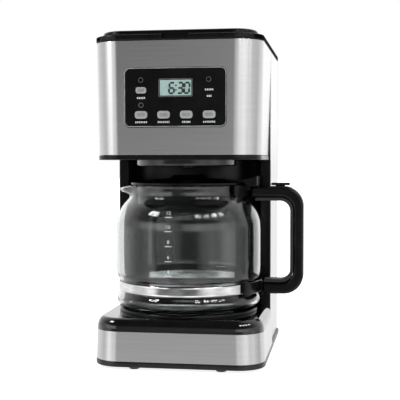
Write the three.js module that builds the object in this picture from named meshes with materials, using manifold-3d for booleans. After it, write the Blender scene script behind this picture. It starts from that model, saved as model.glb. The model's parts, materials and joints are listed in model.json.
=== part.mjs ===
// Drip coffee maker with a glass carafe: every shell, internal part and moving piece is its own closed solid.
// Millimetres, +Z up, front towards -Y. While it is built, x = 0 is the middle of the body, y = 0 is the
// front face of the head and base, and z = 0 is the table. The last lines move the origin to the middle of
// the footprint.
import * as THREE from "three";
import { mergeVertices } from "three/addons/utils/BufferGeometryUtils.js";
import Module from "manifold-3d";

// ---- Driving dimensions -------------------------------------------------------------------------

const GAP = 0.3; // between neighbouring pieces
const SHEET = 1.2; // stainless sheet
const WALL = 2.4; // moulded walls
const LINER_INSET = SHEET + GAP; // the moulded liners stand this far inside the steel

const HALF_WIDTH = 90.2; // of the tower and of the head's top edge
const BACK = 236; // depth of the body
const SEAM = 124.2; // where the steel wraps of head and base end, and the tower begins
const FRONT_RADIUS = 29; // vertical corners at the front, in plan
const REAR_RADIUS = 8;

const PAN_BOTTOM = 3.4;
const PAN_TOP = 9;
const BASE_HALF = 91; // base at its top edge
const BASE_FLARE = 1.013; // base width at the pan over width at the top edge
const BAND_TOP = 41.2; // top edge of the base's steel band
const DECK = 55; // flat top of the base
const PLATE_TOP = 58.6;
const FEET = [
  { name: "foot_front_left", x: -47, y: 12 },
  { name: "foot_front_right", x: 47, y: 12 },
  { name: "foot_rear_left", x: -62, y: 218 },
  { name: "foot_rear_right", x: 62, y: 218 },
];
const SCREWS = [
  { x: -84.4, y: 60 },
  { x: 84.4, y: 60 },
  { x: -82.4, y: 205 },
  { x: 82.4, y: 205 },
];

const BAY_TOP = 223.5; // underside of the head
const HEAD_TRIM_TOP = 228.4;
const HEAD_TOP = 348.2; // top edge of the steel wrap
const HEAD_TAPER = 0.973; // head width at its bottom over width at its top
const RIM_TOP = 354.6;
const LID_TOP = 360;

const CARAFE_Y = 86; // axis of the carafe and the hot plate
const BASKET_Y = 72; // axis of the brew basket and its holder
const RECESS_RADIUS = 87; // hollow in the tower's front behind the carafe
const PILLAR_FRONT = 122.8;
const CORD_INLET = { x: -55, z: 26 }; // hole for the supply cord, in the rear wall
const OUTLET = { x: -40, y: 196 }; // where water leaves the reservoir
const HEATER_END = { x: 33, y: 130.5, z: 50.5 }; // open ends of the heating tube, left and right

const PANEL = { half: 54.1, low: 257.9, high: 319.7, radius: 6.5 };
const LCD = { x: 0.6, z: 298.6, half: 16.7, halfHeight: 8.2 };
const BUTTON = { width: 13.2, height: 8, proud: 1.5, stemEnd: 5.6 };
const BUTTONS = [
  { name: "button_set", x: -36, z: 270.6, scale: 1 },
  { name: "button_hour", x: -12, z: 270.6, scale: 1 },
  { name: "button_minute", x: 12, z: 270.6, scale: 1 },
  { name: "button_power", x: 36, z: 270.6, scale: 1 },
  { name: "button_select", x: -36, z: 296.2, scale: 0.84 },
];

const LID_AXIS = { y: 219, z: 357.4 }; // top lid's hinge line, along x
const LID_ARMS = [-64, 56]; // left sides of the lid's two hinge arms
const ARM_WIDTH = 8;
const EAR_WIDTH = 3.6; // the rim has an ear on each side of each arm
const EAR_RADIUS = 2.6;
const JUG_LID_AXIS = { x: 72.5, z: 199.5 }; // carafe lid's hinge line, along y, from the carafe's axis

const HANDLE = { half: 11, top: 194.2, reach: 130, low: 74.4, line: 3.9 }; // line = depth of the inner strip
const HANDLE_ARM = { top: 15.9, low: 16.4, grip: 14.6 }; // thickness of the handle's two arms and of its grip
const HANDLE_SCREW_X = 89;
const CLAMP_HALF = 20; // half the width of the clamp on the carafe's neck
const GLASS_WALL = 2.4;

// ---- Solids and meshes --------------------------------------------------------------------------

const wasm = await Module();
wasm.setup();

// A three.js geometry as a manifold solid, ready for booleans.
function solid(geometry) {
  const bare = geometry.clone();
  bare.deleteAttribute("normal");
  bare.deleteAttribute("uv");
  const merged = mergeVertices(bare, 1e-3);
  const vertProperties = new Float32Array(merged.getAttribute("position").array);
  const triVerts = new Uint32Array(merged.index.array);
  return new wasm.Manifold(new wasm.Mesh({ numProp: 3, vertProperties, triVerts }));
}

// The first solid joined with all the others.
function join(...solids) {
  return solids.reduce((sum, next) => sum.add(next));
}

// The first solid with all the others cut away.
function cut(body, ...tools) {
  return tools.reduce((left, tool) => left.subtract(tool), body);
}

function geometryOf(shape) {
  const mesh = shape.getMesh();
  const geometry = new THREE.BufferGeometry();
  geometry.setAttribute("position", new THREE.BufferAttribute(new Float32Array(mesh.vertProperties), 3));
  geometry.setIndex(new THREE.BufferAttribute(new Uint32Array(mesh.triVerts), 1));
  geometry.computeVertexNormals();
  return geometry;
}

// One named sub-part with its own material.
function part(name, shape, { colour, roughness, metalness = 0, opacity = 1 }) {
  const material = new THREE.MeshStandardMaterial({ color: colour, roughness, metalness });
  material.transparent = opacity < 1;
  material.opacity = opacity;
  const mesh = new THREE.Mesh(geometryOf(shape), material);
  mesh.name = name;
  return mesh;
}

const GLOSS_BLACK = { colour: 0x0b0b0c, roughness: 0.12 };
const SATIN_BLACK = { colour: 0x141415, roughness: 0.42 };
const INNER_PLASTIC = { colour: 0x2a2b2c, roughness: 0.55 };
const STEEL = { colour: 0xb9babb, roughness: 0.32, metalness: 1 };
const BRIGHT_STEEL = { colour: 0xd2d3d4, roughness: 0.12, metalness: 1 };
const ALUMINIUM = { colour: 0xa9abae, roughness: 0.38, metalness: 1 };
const RUBBER = { colour: 0x101010, roughness: 0.85 };
const SILICONE = { colour: 0xc9c6bd, roughness: 0.6 };
const GLASS = { colour: 0xf2f7f6, roughness: 0.03, opacity: 0.3 };
const BUTTON_GREY = { colour: 0xc6c9c8, roughness: 0.35 };
const LCD_GREEN = { colour: 0xa9c9bf, roughness: 0.25 };
const BOARD_GREEN = { colour: 0x1d5a37, roughness: 0.6 };

// ---- Shape helpers ------------------------------------------------------------------------------

// A rectangle in plan with its own radius at the front corners (low y) and at the rear ones.
function plan(half, front, back, frontRadius, rearRadius) {
  const shape = new THREE.Shape();
  shape.moveTo(-half + frontRadius, front);
  shape.lineTo(half - frontRadius, front);
  shape.absarc(half - frontRadius, front + frontRadius, frontRadius, -Math.PI / 2, 0, false);
  shape.lineTo(half, back - rearRadius);
  shape.absarc(half - rearRadius, back - rearRadius, rearRadius, 0, Math.PI / 2, false);
  shape.lineTo(-half + rearRadius, back);
  shape.absarc(-half + rearRadius, back - rearRadius, rearRadius, Math.PI / 2, Math.PI, false);
  shape.lineTo(-half, front + frontRadius);
  shape.absarc(-half + frontRadius, front + frontRadius, frontRadius, Math.PI, 1.5 * Math.PI, false);
  return shape;
}

// A U in plan: two side walls joined by a front wall with round corners, open at the back.
function wrapPlan(half, front, end, radius, thickness) {
  const inner = radius - thickness;
  const centre = half - radius;
  const shape = new THREE.Shape();
  shape.moveTo(-half, end);
  shape.lineTo(-half, front + radius);
  shape.absarc(-centre, front + radius, radius, Math.PI, 1.5 * Math.PI, false);
  shape.lineTo(centre, front);
  shape.absarc(centre, front + radius, radius, -Math.PI / 2, 0, false);
  shape.lineTo(half, end);
  shape.lineTo(half - thickness, end);
  shape.lineTo(half - thickness, front + radius);
  shape.absarc(centre, front + radius, inner, 0, -Math.PI / 2, true);
  shape.lineTo(-centre, front + thickness);
  shape.absarc(-centre, front + radius, inner, -Math.PI / 2, -Math.PI, true);
  shape.lineTo(-half + thickness, end);
  return shape;
}

// A plan shape as a wall or slab between two heights.
function rise(shape, low, high, curveSegments = 6) {
  const geometry = new THREE.ExtrudeGeometry(shape, { depth: high - low, bevelEnabled: false, curveSegments });
  return geometry.translate(0, 0, low);
}

// A shape drawn in x and z, as a slab between two depths.
function slabXZ(shape, near, far, curveSegments = 6) {
  const geometry = new THREE.ExtrudeGeometry(shape, { depth: far - near, bevelEnabled: false, curveSegments });
  return geometry.rotateX(Math.PI / 2).translate(0, far, 0);
}

// A rounded rectangle about its own centre.
function pill(width, height, radius) {
  const shape = new THREE.Shape();
  const x = width / 2 - radius;
  const y = height / 2 - radius;
  shape.absarc(x, -y, radius, -Math.PI / 2, 0, false);
  shape.absarc(x, y, radius, 0, Math.PI / 2, false);
  shape.absarc(-x, y, radius, Math.PI / 2, Math.PI, false);
  shape.absarc(-x, -y, radius, Math.PI, 1.5 * Math.PI, false);
  return shape;
}

function box(x0, x1, y0, y1, z0, z1) {
  const geometry = new THREE.BoxGeometry(x1 - x0, y1 - y0, z1 - z0);
  return solid(geometry.translate((x0 + x1) / 2, (y0 + y1) / 2, (z0 + z1) / 2));
}

// A round bar between two heights.
function post(radius, low, high, x = 0, y = 0, sides = 20) {
  const geometry = new THREE.CylinderGeometry(radius, radius, high - low, sides).rotateX(Math.PI / 2);
  return solid(geometry.translate(x, y, (low + high) / 2));
}

// A round bar along x or y.
function bar(radius, from, to, axis, centre, sides = 14) {
  const geometry = new THREE.CylinderGeometry(radius, radius, to - from, sides);
  if (axis === "x") {
    geometry.rotateZ(Math.PI / 2).translate((from + to) / 2, centre.y, centre.z);
  } else {
    geometry.translate(centre.x, (from + to) / 2, centre.z);
  }
  return solid(geometry);
}

// A turned solid about a vertical axis: the profile's points are [radius, height], up the outside first.
function turned(profile, sides, x = 0, y = 0) {
  const points = profile.map(([radius, height]) => new THREE.Vector2(radius, height));
  points.push(points[0].clone());
  return new THREE.LatheGeometry(points, sides).rotateX(Math.PI / 2).translate(x, y, 0);
}

// A rod or hose of the given radius along a smooth path.
function hose(points, radius, sides, steps) {
  const places = points.map((point) => new THREE.Vector3(...point));
  const path = new THREE.CatmullRomCurve3(places, false, "centripetal");
  const section = new THREE.Shape();
  section.absarc(0, 0, radius, 0, 2 * Math.PI, false);
  const options = { steps, bevelEnabled: false, extrudePath: path, curveSegments: sides };
  return solid(new THREE.ExtrudeGeometry(section, options));
}

// Widths change in a straight line from one height to another.
function taper(geometry, low, high, scaleLow, scaleHigh) {
  const place = geometry.getAttribute("position");
  for (let i = 0; i < place.count; i++) {
    const share = THREE.MathUtils.clamp((place.getZ(i) - low) / (high - low), 0, 1);
    place.setX(i, place.getX(i) * THREE.MathUtils.lerp(scaleLow, scaleHigh, share));
  }
  return geometry;
}

// ---- Base ---------------------------------------------------------------------------------------

// A moulded boss with a bore for one of the bottom screws.
function boss({ x, y }) {
  return cut(post(4.4, PAN_TOP + GAP, 24, x, y, 14), post(1.8, PAN_TOP, 21, x, y, 8));
}

function basePan() {
  const half = BASE_HALF * BASE_FLARE + 0.4;
  const outline = plan(half, -0.8, BACK + 0.6, FRONT_RADIUS + 1, REAR_RADIUS + 1);
  const tray = solid(rise(outline, PAN_BOTTOM, PAN_TOP, 6));
  const pocket = plan(half - 5.5, 4.5, BACK - 5, FRONT_RADIUS - 4, REAR_RADIUS - 4);
  const seat = PAN_BOTTOM + 1.8;
  const bores = SCREWS.flatMap(({ x, y }) => [post(2, 0, 12, x, y, 8), post(4, 0, seat, x, y, 10)]);
  return cut(tray, solid(rise(pocket, PAN_BOTTOM + 3, PAN_TOP + 1, 3)), ...bores);
}

function screw({ x, y }) {
  const head = post(3.4, PAN_BOTTOM + 0.2, PAN_BOTTOM + 1.5, x, y, 10);
  return join(head, post(1.4, PAN_BOTTOM + 1, 19, x, y, 6));
}

function baseWrap(inset, thickness) {
  const shape = wrapPlan(BASE_HALF - inset, inset, SEAM, FRONT_RADIUS - inset, thickness);
  const wall = rise(shape, PAN_TOP + GAP, BAND_TOP, 7);
  return solid(taper(wall, PAN_TOP, BAND_TOP, BASE_FLARE, 1));
}

// The black top of the base: a shallow shell with a rolled front edge, and a round floor under the
// tower's recess.
function baseTopCover() {
  const roll = 6.5;
  const edge = plan(BASE_HALF - roll, roll, SEAM + 20, FRONT_RADIUS - roll, 1);
  const options = { depth: 4, bevelThickness: 13.2, bevelSize: roll, bevelSegments: 3, curveSegments: 6 };
  const dome = solid(new THREE.ExtrudeGeometry(edge, options).translate(0, 0, DECK - 17.2));
  const keep = box(-100, 100, -5, PILLAR_FRONT - 0.4, BAND_TOP + GAP, DECK + 1);
  const floor = post(RECESS_RADIUS - 0.4, BAND_TOP + GAP, DECK, 0, CARAFE_Y, 40);
  const inside = plan(BASE_HALF - 7, 8, PILLAR_FRONT - 3, FRONT_RADIUS - 7, 1);
  const pocket = solid(rise(inside, 30, DECK - WALL, 3));
  const underFloor = post(RECESS_RADIUS - 3.5, 30, DECK - WALL, 0, CARAFE_Y, 32);
  return cut(join(dome.intersect(keep), floor), pocket, underFloor, post(72, 30, 70, 0, CARAFE_Y, 36));
}

// The raised black ring that holds the hot plate.
function plateRing() {
  const profile = [
    [67, 50], [71.6, 50], [71.6, DECK + GAP], [78.3, DECK + GAP], [78.3, 57.2], [77.1, 58.7],
    [69.9, 58.7], [69.9, 56.1], [67, 56.1],
  ];
  return solid(turned(profile, 32, 0, CARAFE_Y));
}

function hotPlate() {
  const profile = [[0, 56.4], [69.6, 56.4], [69.6, PLATE_TOP - 0.4], [69.2, PLATE_TOP], [0, PLATE_TOP]];
  return solid(turned(profile, 32, 0, CARAFE_Y));
}

// The heater is a tube bent round under the plate, with both ends turned back to meet the water hoses.
function heatingElement() {
  const radius = 45;
  const open = 1;
  const { x, y, z } = HEATER_END;
  const points = [[-x, y, z], [-x - 1.5, y - 10, z]];
  for (let i = 0; i <= 10; i++) {
    const angle = Math.PI / 2 + open + ((2 * Math.PI - 2 * open) * i) / 10;
    points.push([radius * Math.cos(angle), CARAFE_Y + radius * Math.sin(angle), z]);
  }
  points.push([x + 1.5, y - 10, z], [x, y, z]);
  return hose(points, 4.5, 2, 26);
}

function foot({ x, y }) {
  const top = PAN_BOTTOM - GAP;
  return solid(turned([[0, 0], [4.8, 0], [5.6, 0.8], [5.6, top], [0, top]], 16, x, y));
}

function baseParts() {
  const parts = [
    part("base_pan", basePan(), SATIN_BLACK),
    part("base_housing", join(baseWrap(LINER_INSET, WALL), boss(SCREWS[0]), boss(SCREWS[1])), INNER_PLASTIC),
    part("base_steel_band", baseWrap(0, SHEET), STEEL),
    part("base_top_cover", baseTopCover(), GLOSS_BLACK),
    part("plate_ring", plateRing(), GLOSS_BLACK),
    part("hot_plate", hotPlate(), { ...GLOSS_BLACK, roughness: 0.3 }),
    part("heating_element", heatingElement(), ALUMINIUM),
    part("thermostat", post(9, 47, 55.9, 0, CARAFE_Y, 16), ALUMINIUM),
  ];
  FEET.forEach((place) => parts.push(part(place.name, foot(place), RUBBER)));
  SCREWS.forEach((place, i) => parts.push(part(`base_screw_${i + 1}`, screw(place), BRIGHT_STEEL)));
  return parts;
}

// ---- Tower --------------------------------------------------------------------------------------

// The tower's front: two flat pillars, with a hollow between them that the carafe backs into.
function towerFront() {
  const outer = RECESS_RADIUS + 3;
  const back = PILLAR_FRONT + 3;
  const frontAngle = Math.asin((PILLAR_FRONT - CARAFE_Y) / RECESS_RADIUS);
  const backAngle = Math.asin((back - CARAFE_Y) / outer);
  const shape = new THREE.Shape();
  shape.moveTo(-HALF_WIDTH + 1.4, PILLAR_FRONT);
  shape.absarc(0, CARAFE_Y, RECESS_RADIUS, Math.PI - frontAngle, frontAngle, true);
  shape.lineTo(HALF_WIDTH - 1.4, PILLAR_FRONT);
  shape.lineTo(HALF_WIDTH - 0.3, PILLAR_FRONT + 1);
  shape.lineTo(HALF_WIDTH - 0.3, SEAM);
  shape.lineTo(HALF_WIDTH - 4.4, SEAM);
  shape.lineTo(HALF_WIDTH - 4.4, back);
  shape.absarc(0, CARAFE_Y, outer, backAngle, Math.PI - backAngle, false);
  shape.lineTo(-HALF_WIDTH + 4.4, back);
  shape.lineTo(-HALF_WIDTH + 4.4, SEAM);
  shape.lineTo(-HALF_WIDTH + 0.3, SEAM);
  shape.lineTo(-HALF_WIDTH + 0.3, PILLAR_FRONT + 1);
  return solid(rise(shape, BAND_TOP + 2 * GAP, BAY_TOP - GAP, 18));
}

function towerSide(side) {
  const inner = HALF_WIDTH - SHEET;
  const [x0, x1] = side < 0 ? [-HALF_WIDTH, -inner] : [inner, HALF_WIDTH];
  return box(x0, x1, SEAM + 0.4, BACK - REAR_RADIUS, PAN_TOP + GAP, HEAD_TOP);
}

// The back of the body: side walls behind the steel, and a rear wall with round corners, vents and the
// cord's hole.
function rearHousing() {
  const skin = HALF_WIDTH - SHEET - GAP;
  const start = BACK - REAR_RADIUS + GAP;
  const low = PAN_TOP + GAP;
  const sides = rise(plan(skin, SEAM + 0.4, BACK - 4, 0.5, 4), low, HEAD_TOP, 2);
  const back = rise(plan(HALF_WIDTH, start, BACK, 0.2, REAR_RADIUS - 1), low, HEAD_TOP, 5);
  const inside = plan(skin - WALL, 0, BACK - WALL - 1, 0.5, 5);
  const vents = [];
  for (let i = 0; i < 5; i++) {
    const z = 272 + 9 * i;
    vents.push(box(-32, 32, BACK - 10, BACK + 5, z, z + 3));
  }
  const shell = cut(join(solid(sides), solid(back)), solid(rise(inside, 0, 400, 2)), ...vents);
  const hole = bar(7, BACK - 12, BACK + 5, "y", CORD_INLET, 14);
  return join(cut(shell, hole), boss(SCREWS[2]), boss(SCREWS[3]));
}

// The bushing that a supply cord would come through.
function cordGland() {
  const collar = join(
    bar(6.6, BACK - 6, BACK + 1, "y", CORD_INLET, 14),
    bar(8.6, BACK + GAP, BACK + 1.8, "y", CORD_INLET, 14),
    bar(8.6, BACK - 7, BACK - WALL - 1 - GAP, "y", CORD_INLET, 14),
  );
  return cut(collar, bar(3.4, BACK - 12, BACK + 5, "y", CORD_INLET, 14));
}

function reservoir() {
  const outside = solid(rise(plan(82.5, 178.5, BACK - 6, 8, 8), 60, 340, 3));
  const inside = solid(rise(plan(80.5, 180.5, BACK - 8, 6, 6), 62.5, 350, 3));
  return cut(outside, inside, post(3, 50, 70, OUTLET.x, OUTLET.y, 12));
}

// Cold water runs down from the check valve and forwards to the heater's left end.
function feedHose() {
  const { x, y, z } = HEATER_END;
  const route = [
    [OUTLET.x, OUTLET.y, 41.4], [OUTLET.x, OUTLET.y, 36], [OUTLET.x, 186, 24], [-38, 160, 24], [-35, 144, 38],
    [-x, y + 6, z - 2], [-x, y + 2, z],
  ];
  return hose(route, 4, 2, 12);
}

// Hot water runs from the heater's right end up the side of the tower and forwards over the brew basket.
function riserTube() {
  const { x, y, z } = HEATER_END;
  const route = [
    [x, y + 2, z], [x, y + 6, z - 2], [36, 142, 41], [44, 150, 32], [60, 156, 30], [74, 158, 40],
    [78.5, 158, 70], [78.5, 158, 300], [66, 146, 334], [24, 108, 338],
  ];
  return hose(route, 4, 2, 26);
}

function towerParts() {
  return [
    part("tower_front", towerFront(), SATIN_BLACK),
    part("tower_side_left", towerSide(-1), STEEL),
    part("tower_side_right", towerSide(1), STEEL),
    part("rear_housing", rearHousing(), SATIN_BLACK),
    part("cord_gland", cordGland(), RUBBER),
    part("water_reservoir", reservoir(), INNER_PLASTIC),
    part("check_valve", post(7, 42, 59.6, OUTLET.x, OUTLET.y, 16), SILICONE),
    part("feed_hose", feedHose(), SILICONE),
    part("riser_tube", riserTube(), SILICONE),
  ];
}

// ---- Head ---------------------------------------------------------------------------------------

// One of the head's two nested walls, with its opening for the control panel.
function headWrap(inset, thickness, opening) {
  const shape = wrapPlan(HALF_WIDTH - inset, inset, SEAM, FRONT_RADIUS - inset, thickness);
  const wall = solid(taper(rise(shape, HEAD_TRIM_TOP + GAP, HEAD_TOP, 7), BAY_TOP, HEAD_TOP, HEAD_TAPER, 1));
  const middle = (PANEL.low + PANEL.high) / 2;
  return cut(wall, solid(slabXZ(opening, -5, 12, 5).translate(0, 0, middle)));
}

// The black underside of the head, which also roofs the tower's recess.
function headBottom() {
  const half = HALF_WIDTH * HEAD_TAPER + 0.5;
  const outline = plan(half, -0.6, PILLAR_FRONT - 0.4, FRONT_RADIUS, 0.5);
  const front = solid(rise(outline, BAY_TOP, HEAD_TRIM_TOP, 6));
  const roof = post(RECESS_RADIUS - 0.4, BAY_TOP, HEAD_TRIM_TOP, 0, CARAFE_Y, 40);
  return cut(join(front, roof), post(54, BAY_TOP - 5, HEAD_TRIM_TOP + 5, 0, BASKET_Y, 32));
}

// The rim on top of the head: a raised edge round a sunk deck, with openings for the basket and for filling.
function topRim() {
  const low = HEAD_TOP + GAP;
  const deckTop = 351;
  const outline = plan(HALF_WIDTH - 1, 0.4, BACK, FRONT_RADIUS - 1, REAR_RADIUS);
  const options = {
    depth: RIM_TOP - low - 3, bevelThickness: 1.5, bevelSize: 1.4, bevelSegments: 1, curveSegments: 5,
  };
  const edge = solid(new THREE.ExtrudeGeometry(outline, options).translate(0, 0, low + 1.5));
  const sunk = solid(rise(plan(HALF_WIDTH - 9, 9, 213, FRONT_RADIUS - 9, 6), deckTop, RIM_TOP + 5, 4));
  const fill = solid(rise(plan(68, 181, 210, 8, 8), low - 5, RIM_TOP, 3));
  const notch = solid(slabXZ(pill(28, 9, 3), -5, 4.6).translate(0, 0, RIM_TOP - 0.4));
  const { y, z } = LID_AXIS;
  const sides = LID_ARMS.flatMap((x) => [x - 0.4 - EAR_WIDTH, x + ARM_WIDTH + 0.4]);
  const ears = sides.map((x) => {
    const barrel = bar(EAR_RADIUS, x, x + EAR_WIDTH, "x", LID_AXIS, 10);
    return join(barrel, box(x, x + EAR_WIDTH, y - EAR_RADIUS, y + EAR_RADIUS, RIM_TOP - 1, z));
  });
  const bores = LID_ARMS.map((x) => bar(1.8, x - 6, x + 14, "x", LID_AXIS, 8));
  const deck = cut(edge, sunk, fill, post(52, 300, 380, 0, BASKET_Y, 32), notch);
  return cut(join(deck, ...ears), ...bores);
}

// The holder that hangs the brew basket through the head's underside; its lower end shows as a ring.
function basketHolder() {
  const profile = [
    [22, 217.4], [54, 217], [55.5, 218.6], [55.5, BAY_TOP - GAP], [53.6, BAY_TOP - GAP],
    [53.6, 318], [51.8, 318], [51.8, 219.4], [22, 219.4],
  ];
  return solid(turned(profile, 30, 0, BASKET_Y));
}

function controlPanel() {
  const middle = (PANEL.low + PANEL.high) / 2;
  const height = PANEL.high - PANEL.low;
  const outline = pill(2 * PANEL.half, height, PANEL.radius);
  const plug = pill(2 * PANEL.half - 9.4, height - 9.4, 3);
  const face = solid(slabXZ(outline, -0.7, 1.4, 4).translate(0, 0, middle));
  const backing = solid(slabXZ(plug, 1, 4.6, 3).translate(0, 0, middle));
  const half = LCD.half + GAP;
  const halfHeight = LCD.halfHeight + GAP;
  const window = box(LCD.x - half, LCD.x + half, -5, 10, LCD.z - halfHeight, LCD.z + halfHeight);
  const holes = BUTTONS.map(({ x, z, scale }) => {
    const width = BUTTON.width * scale + 0.8;
    const tall = BUTTON.height * scale + 0.8;
    return solid(slabXZ(pill(width, tall, tall / 2 - 0.05), -5, 10, 3).translate(x, 0, z));
  });
  return cut(join(face, backing), window, ...holes);
}

function lcdModule() {
  const { x, z, half, halfHeight } = LCD;
  return box(x - half, x + half, -0.4, 4.2, z - halfHeight, z + halfHeight);
}

function pushButton({ x, z, scale }) {
  const width = BUTTON.width * scale;
  const tall = BUTTON.height * scale;
  const outline = pill(width - 1, tall - 1, tall / 2 - 0.55);
  const depth = 5.2;
  const options = { depth, bevelThickness: 0.5, bevelSize: 0.5, bevelSegments: 1, curveSegments: 3 };
  const cap = new THREE.ExtrudeGeometry(outline, options).rotateX(Math.PI / 2);
  const stem = bar(1.8, 3, BUTTON.stemEnd, "y", { x, z }, 8);
  return join(solid(cap.translate(x, depth - BUTTON.proud, z)), stem);
}

// The circuit board behind the panel, with one switch under each button.
function controlBoard() {
  const middle = (PANEL.low + PANEL.high) / 2;
  const board = box(-50, 50, 9, 10.6, middle - 27, middle + 27);
  const switches = BUTTONS.map(({ x, z }) => box(x - 3, x + 3, 7.1, 9.5, z - 3, z + 3));
  return join(board, ...switches);
}

function headParts() {
  const height = PANEL.high - PANEL.low;
  const snug = pill(2 * PANEL.half + 0.7, height + 0.7, PANEL.radius + 0.35);
  const loose = pill(2 * PANEL.half - 8, height - 8, 4);
  const parts = [
    part("head_housing", headWrap(LINER_INSET, WALL, loose), INNER_PLASTIC),
    part("head_steel_wrap", headWrap(0, SHEET, snug), STEEL),
    part("head_bottom", headBottom(), SATIN_BLACK),
    part("top_rim", topRim(), GLOSS_BLACK),
    part("basket_holder", basketHolder(), GLOSS_BLACK),
    part("control_panel", controlPanel(), GLOSS_BLACK),
    part("lcd_display", lcdModule(), LCD_GREEN),
    part("control_board", controlBoard(), BOARD_GREEN),
  ];
  BUTTONS.forEach((button) => parts.push(part(button.name, pushButton(button), BUTTON_GREY)));
  return parts;
}

// ---- Top lid ------------------------------------------------------------------------------------

// The lid: a domed plate with a skirt round its underside and two hinge arms at the back.
function topLid() {
  const roll = 3.4;
  const outline = plan(HALF_WIDTH - 6.5 - roll, 6 + roll, 209 - roll, FRONT_RADIUS - 4 - roll, 6);
  const options = { depth: 0.8, bevelThickness: 2.1, bevelSize: roll, bevelSegments: 1, curveSegments: 5 };
  const plate = solid(new THREE.ExtrudeGeometry(outline, options).translate(0, 0, RIM_TOP + 0.4 + 2.1));
  const skirt = solid(rise(plan(HALF_WIDTH - 10.5, 10.5, 205, FRONT_RADIUS - 10.5, 5), 352, RIM_TOP + 2, 4));
  const inside = plan(HALF_WIDTH - 12.5, 12.5, 203, FRONT_RADIUS - 12.5, 4);
  const hollow = solid(rise(inside, 350, LID_TOP - WALL, 4));
  const arms = LID_ARMS.map((x) => {
    const reach = box(x, x + ARM_WIDTH, 200, LID_AXIS.y, LID_AXIS.z - 2.3, LID_AXIS.z + 2.3);
    return join(reach, bar(2.3, x, x + ARM_WIDTH, "x", LID_AXIS, 10));
  });
  const bores = LID_ARMS.map((x) => bar(1.9, x - 6, x + 14, "x", LID_AXIS, 8));
  return cut(join(cut(join(plate, skirt), hollow), ...arms), ...bores);
}

// The spray head hangs under the lid and spreads the water over the grounds.
function sprayHead() {
  const top = LID_TOP - 2.4 - GAP;
  const profile = [[0, 338], [22, 338], [24, 341], [24, 344], [9, 347], [9, top], [0, top]];
  const holes = [];
  for (let i = 0; i < 6; i++) {
    const angle = (i * Math.PI) / 3;
    holes.push(post(1.6, 330, 342, 13 * Math.cos(angle), BASKET_Y + 13 * Math.sin(angle), 6));
  }
  return cut(solid(turned(profile, 20, 0, BASKET_Y)), ...holes);
}

function lidParts() {
  return [
    part("top_lid", topLid(), GLOSS_BLACK),
    part("spray_head", sprayHead(), INNER_PLASTIC),
    part("lid_pin_left", bar(1.45, -68, -52, "x", LID_AXIS, 8), BRIGHT_STEEL),
    part("lid_pin_right", bar(1.45, 52, 68, "x", LID_AXIS, 8), BRIGHT_STEEL),
  ];
}

// ---- Brewing parts ------------------------------------------------------------------------------

// The funnel basket; its outlet stands behind its middle, over the middle of the carafe.
function brewBasket() {
  const profile = [
    [0, 223], [44, 226], [49.5, 312], [51, 316], [51, 317.4],
    [48.6, 317.4], [47.4, 312], [42.2, 228], [0, 225.4],
  ];
  const bowl = solid(turned(profile, 24, 0, BASKET_Y));
  const spout = post(7.6, 216.4, 225, 0, CARAFE_Y, 20);
  const spring = post(5.9, 210, 223.2, 0, CARAFE_Y, 16);
  return cut(join(bowl, spout), spring, post(3.5, 210, 240, 0, CARAFE_Y, 12));
}

// The drip stop: a plug over the basket's outlet, on a stem with a foot that the carafe's lid can lift.
function dripStop() {
  const profile = [
    [0, 214.4], [4.6, 214.4], [5.2, 215], [5.2, 216.4], [2.6, 216.8],
    [2.6, 226.9], [7, 227.2], [7, 228.6], [0, 229.6],
  ];
  return solid(turned(profile, 16, 0, CARAFE_Y));
}

function dripSpring() {
  const turns = 3;
  const steps = 24;
  const points = [];
  for (let i = 0; i <= steps; i++) {
    const angle = (2 * Math.PI * turns * i) / steps;
    points.push([4.4 * Math.cos(angle), CARAFE_Y + 4.4 * Math.sin(angle), 217.6 + (4.8 * i) / steps]);
  }
  return hose(points, 0.45, 2, steps);
}

function brewParts() {
  return [
    part("brew_basket", brewBasket(), INNER_PLASTIC),
    part("drip_stop", dripStop(), SATIN_BLACK),
    part("drip_spring", dripSpring(), BRIGHT_STEEL),
  ];
}

// ---- Carafe, measured from its own axis ---------------------------------------------------------

// Half of the carafe's outline: from the middle of the foot, up the outside to the lip, and down the inside.
function carafeProfile() {
  const outside = [
    [0, 61], [64, 60.4], [69, 59.1], [76, 60.2], [81, 65.6], [80.6, 71.6], [78, 77.6], [78, 88.8],
    [80.6, 93.6], [82, 104], [82, 146], [80.2, 160.6], [75, 172], [67.6, 181.6], [66.2, 188], [66.6, 194.4],
  ];
  const inside = [
    [65.4, 195.6], [64.2, 194.4], [63.8, 188], [65.5, 180.4], [72.6, 171], [77.8, 159.6], [79.6, 146],
    [79.6, 104], [78.2, 94.6], [75.6, 89.4], [75.6, 77.2], [78.4, 70.6], [78.4, 66.4], [74.6, 62.9], [64, 62.9],
    [0, 61 + GLASS_WALL],
  ];
  return [...outside, ...inside];
}

// The pouring spout: the neck is drawn outwards and down at the side away from the handle.
function drawSpout(geometry) {
  const place = geometry.getAttribute("position");
  for (let i = 0; i < place.count; i++) {
    const [x, y, z] = [place.getX(i), place.getY(i), place.getZ(i)];
    const radius = Math.hypot(x, y);
    if (radius < 50) continue;
    const swing = Math.atan2(y, -x);
    const share = Math.exp(-((swing / 0.36) ** 2)) * THREE.MathUtils.smoothstep(z, 182, 194);
    const grown = (radius + 13.4 * share) / radius;
    place.setXYZ(i, x * grown, y * grown, z - 3.6 * share);
  }
  return geometry;
}

// Part of a ring about the carafe's axis, centred on the handle's side.
function ringSector(inner, outer, halfAngle, low, high) {
  const shape = new THREE.Shape();
  shape.absarc(0, 0, outer, -halfAngle, halfAngle, false);
  shape.absarc(0, 0, inner, halfAngle, -halfAngle, true);
  return solid(rise(shape, low, high, 8));
}

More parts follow.
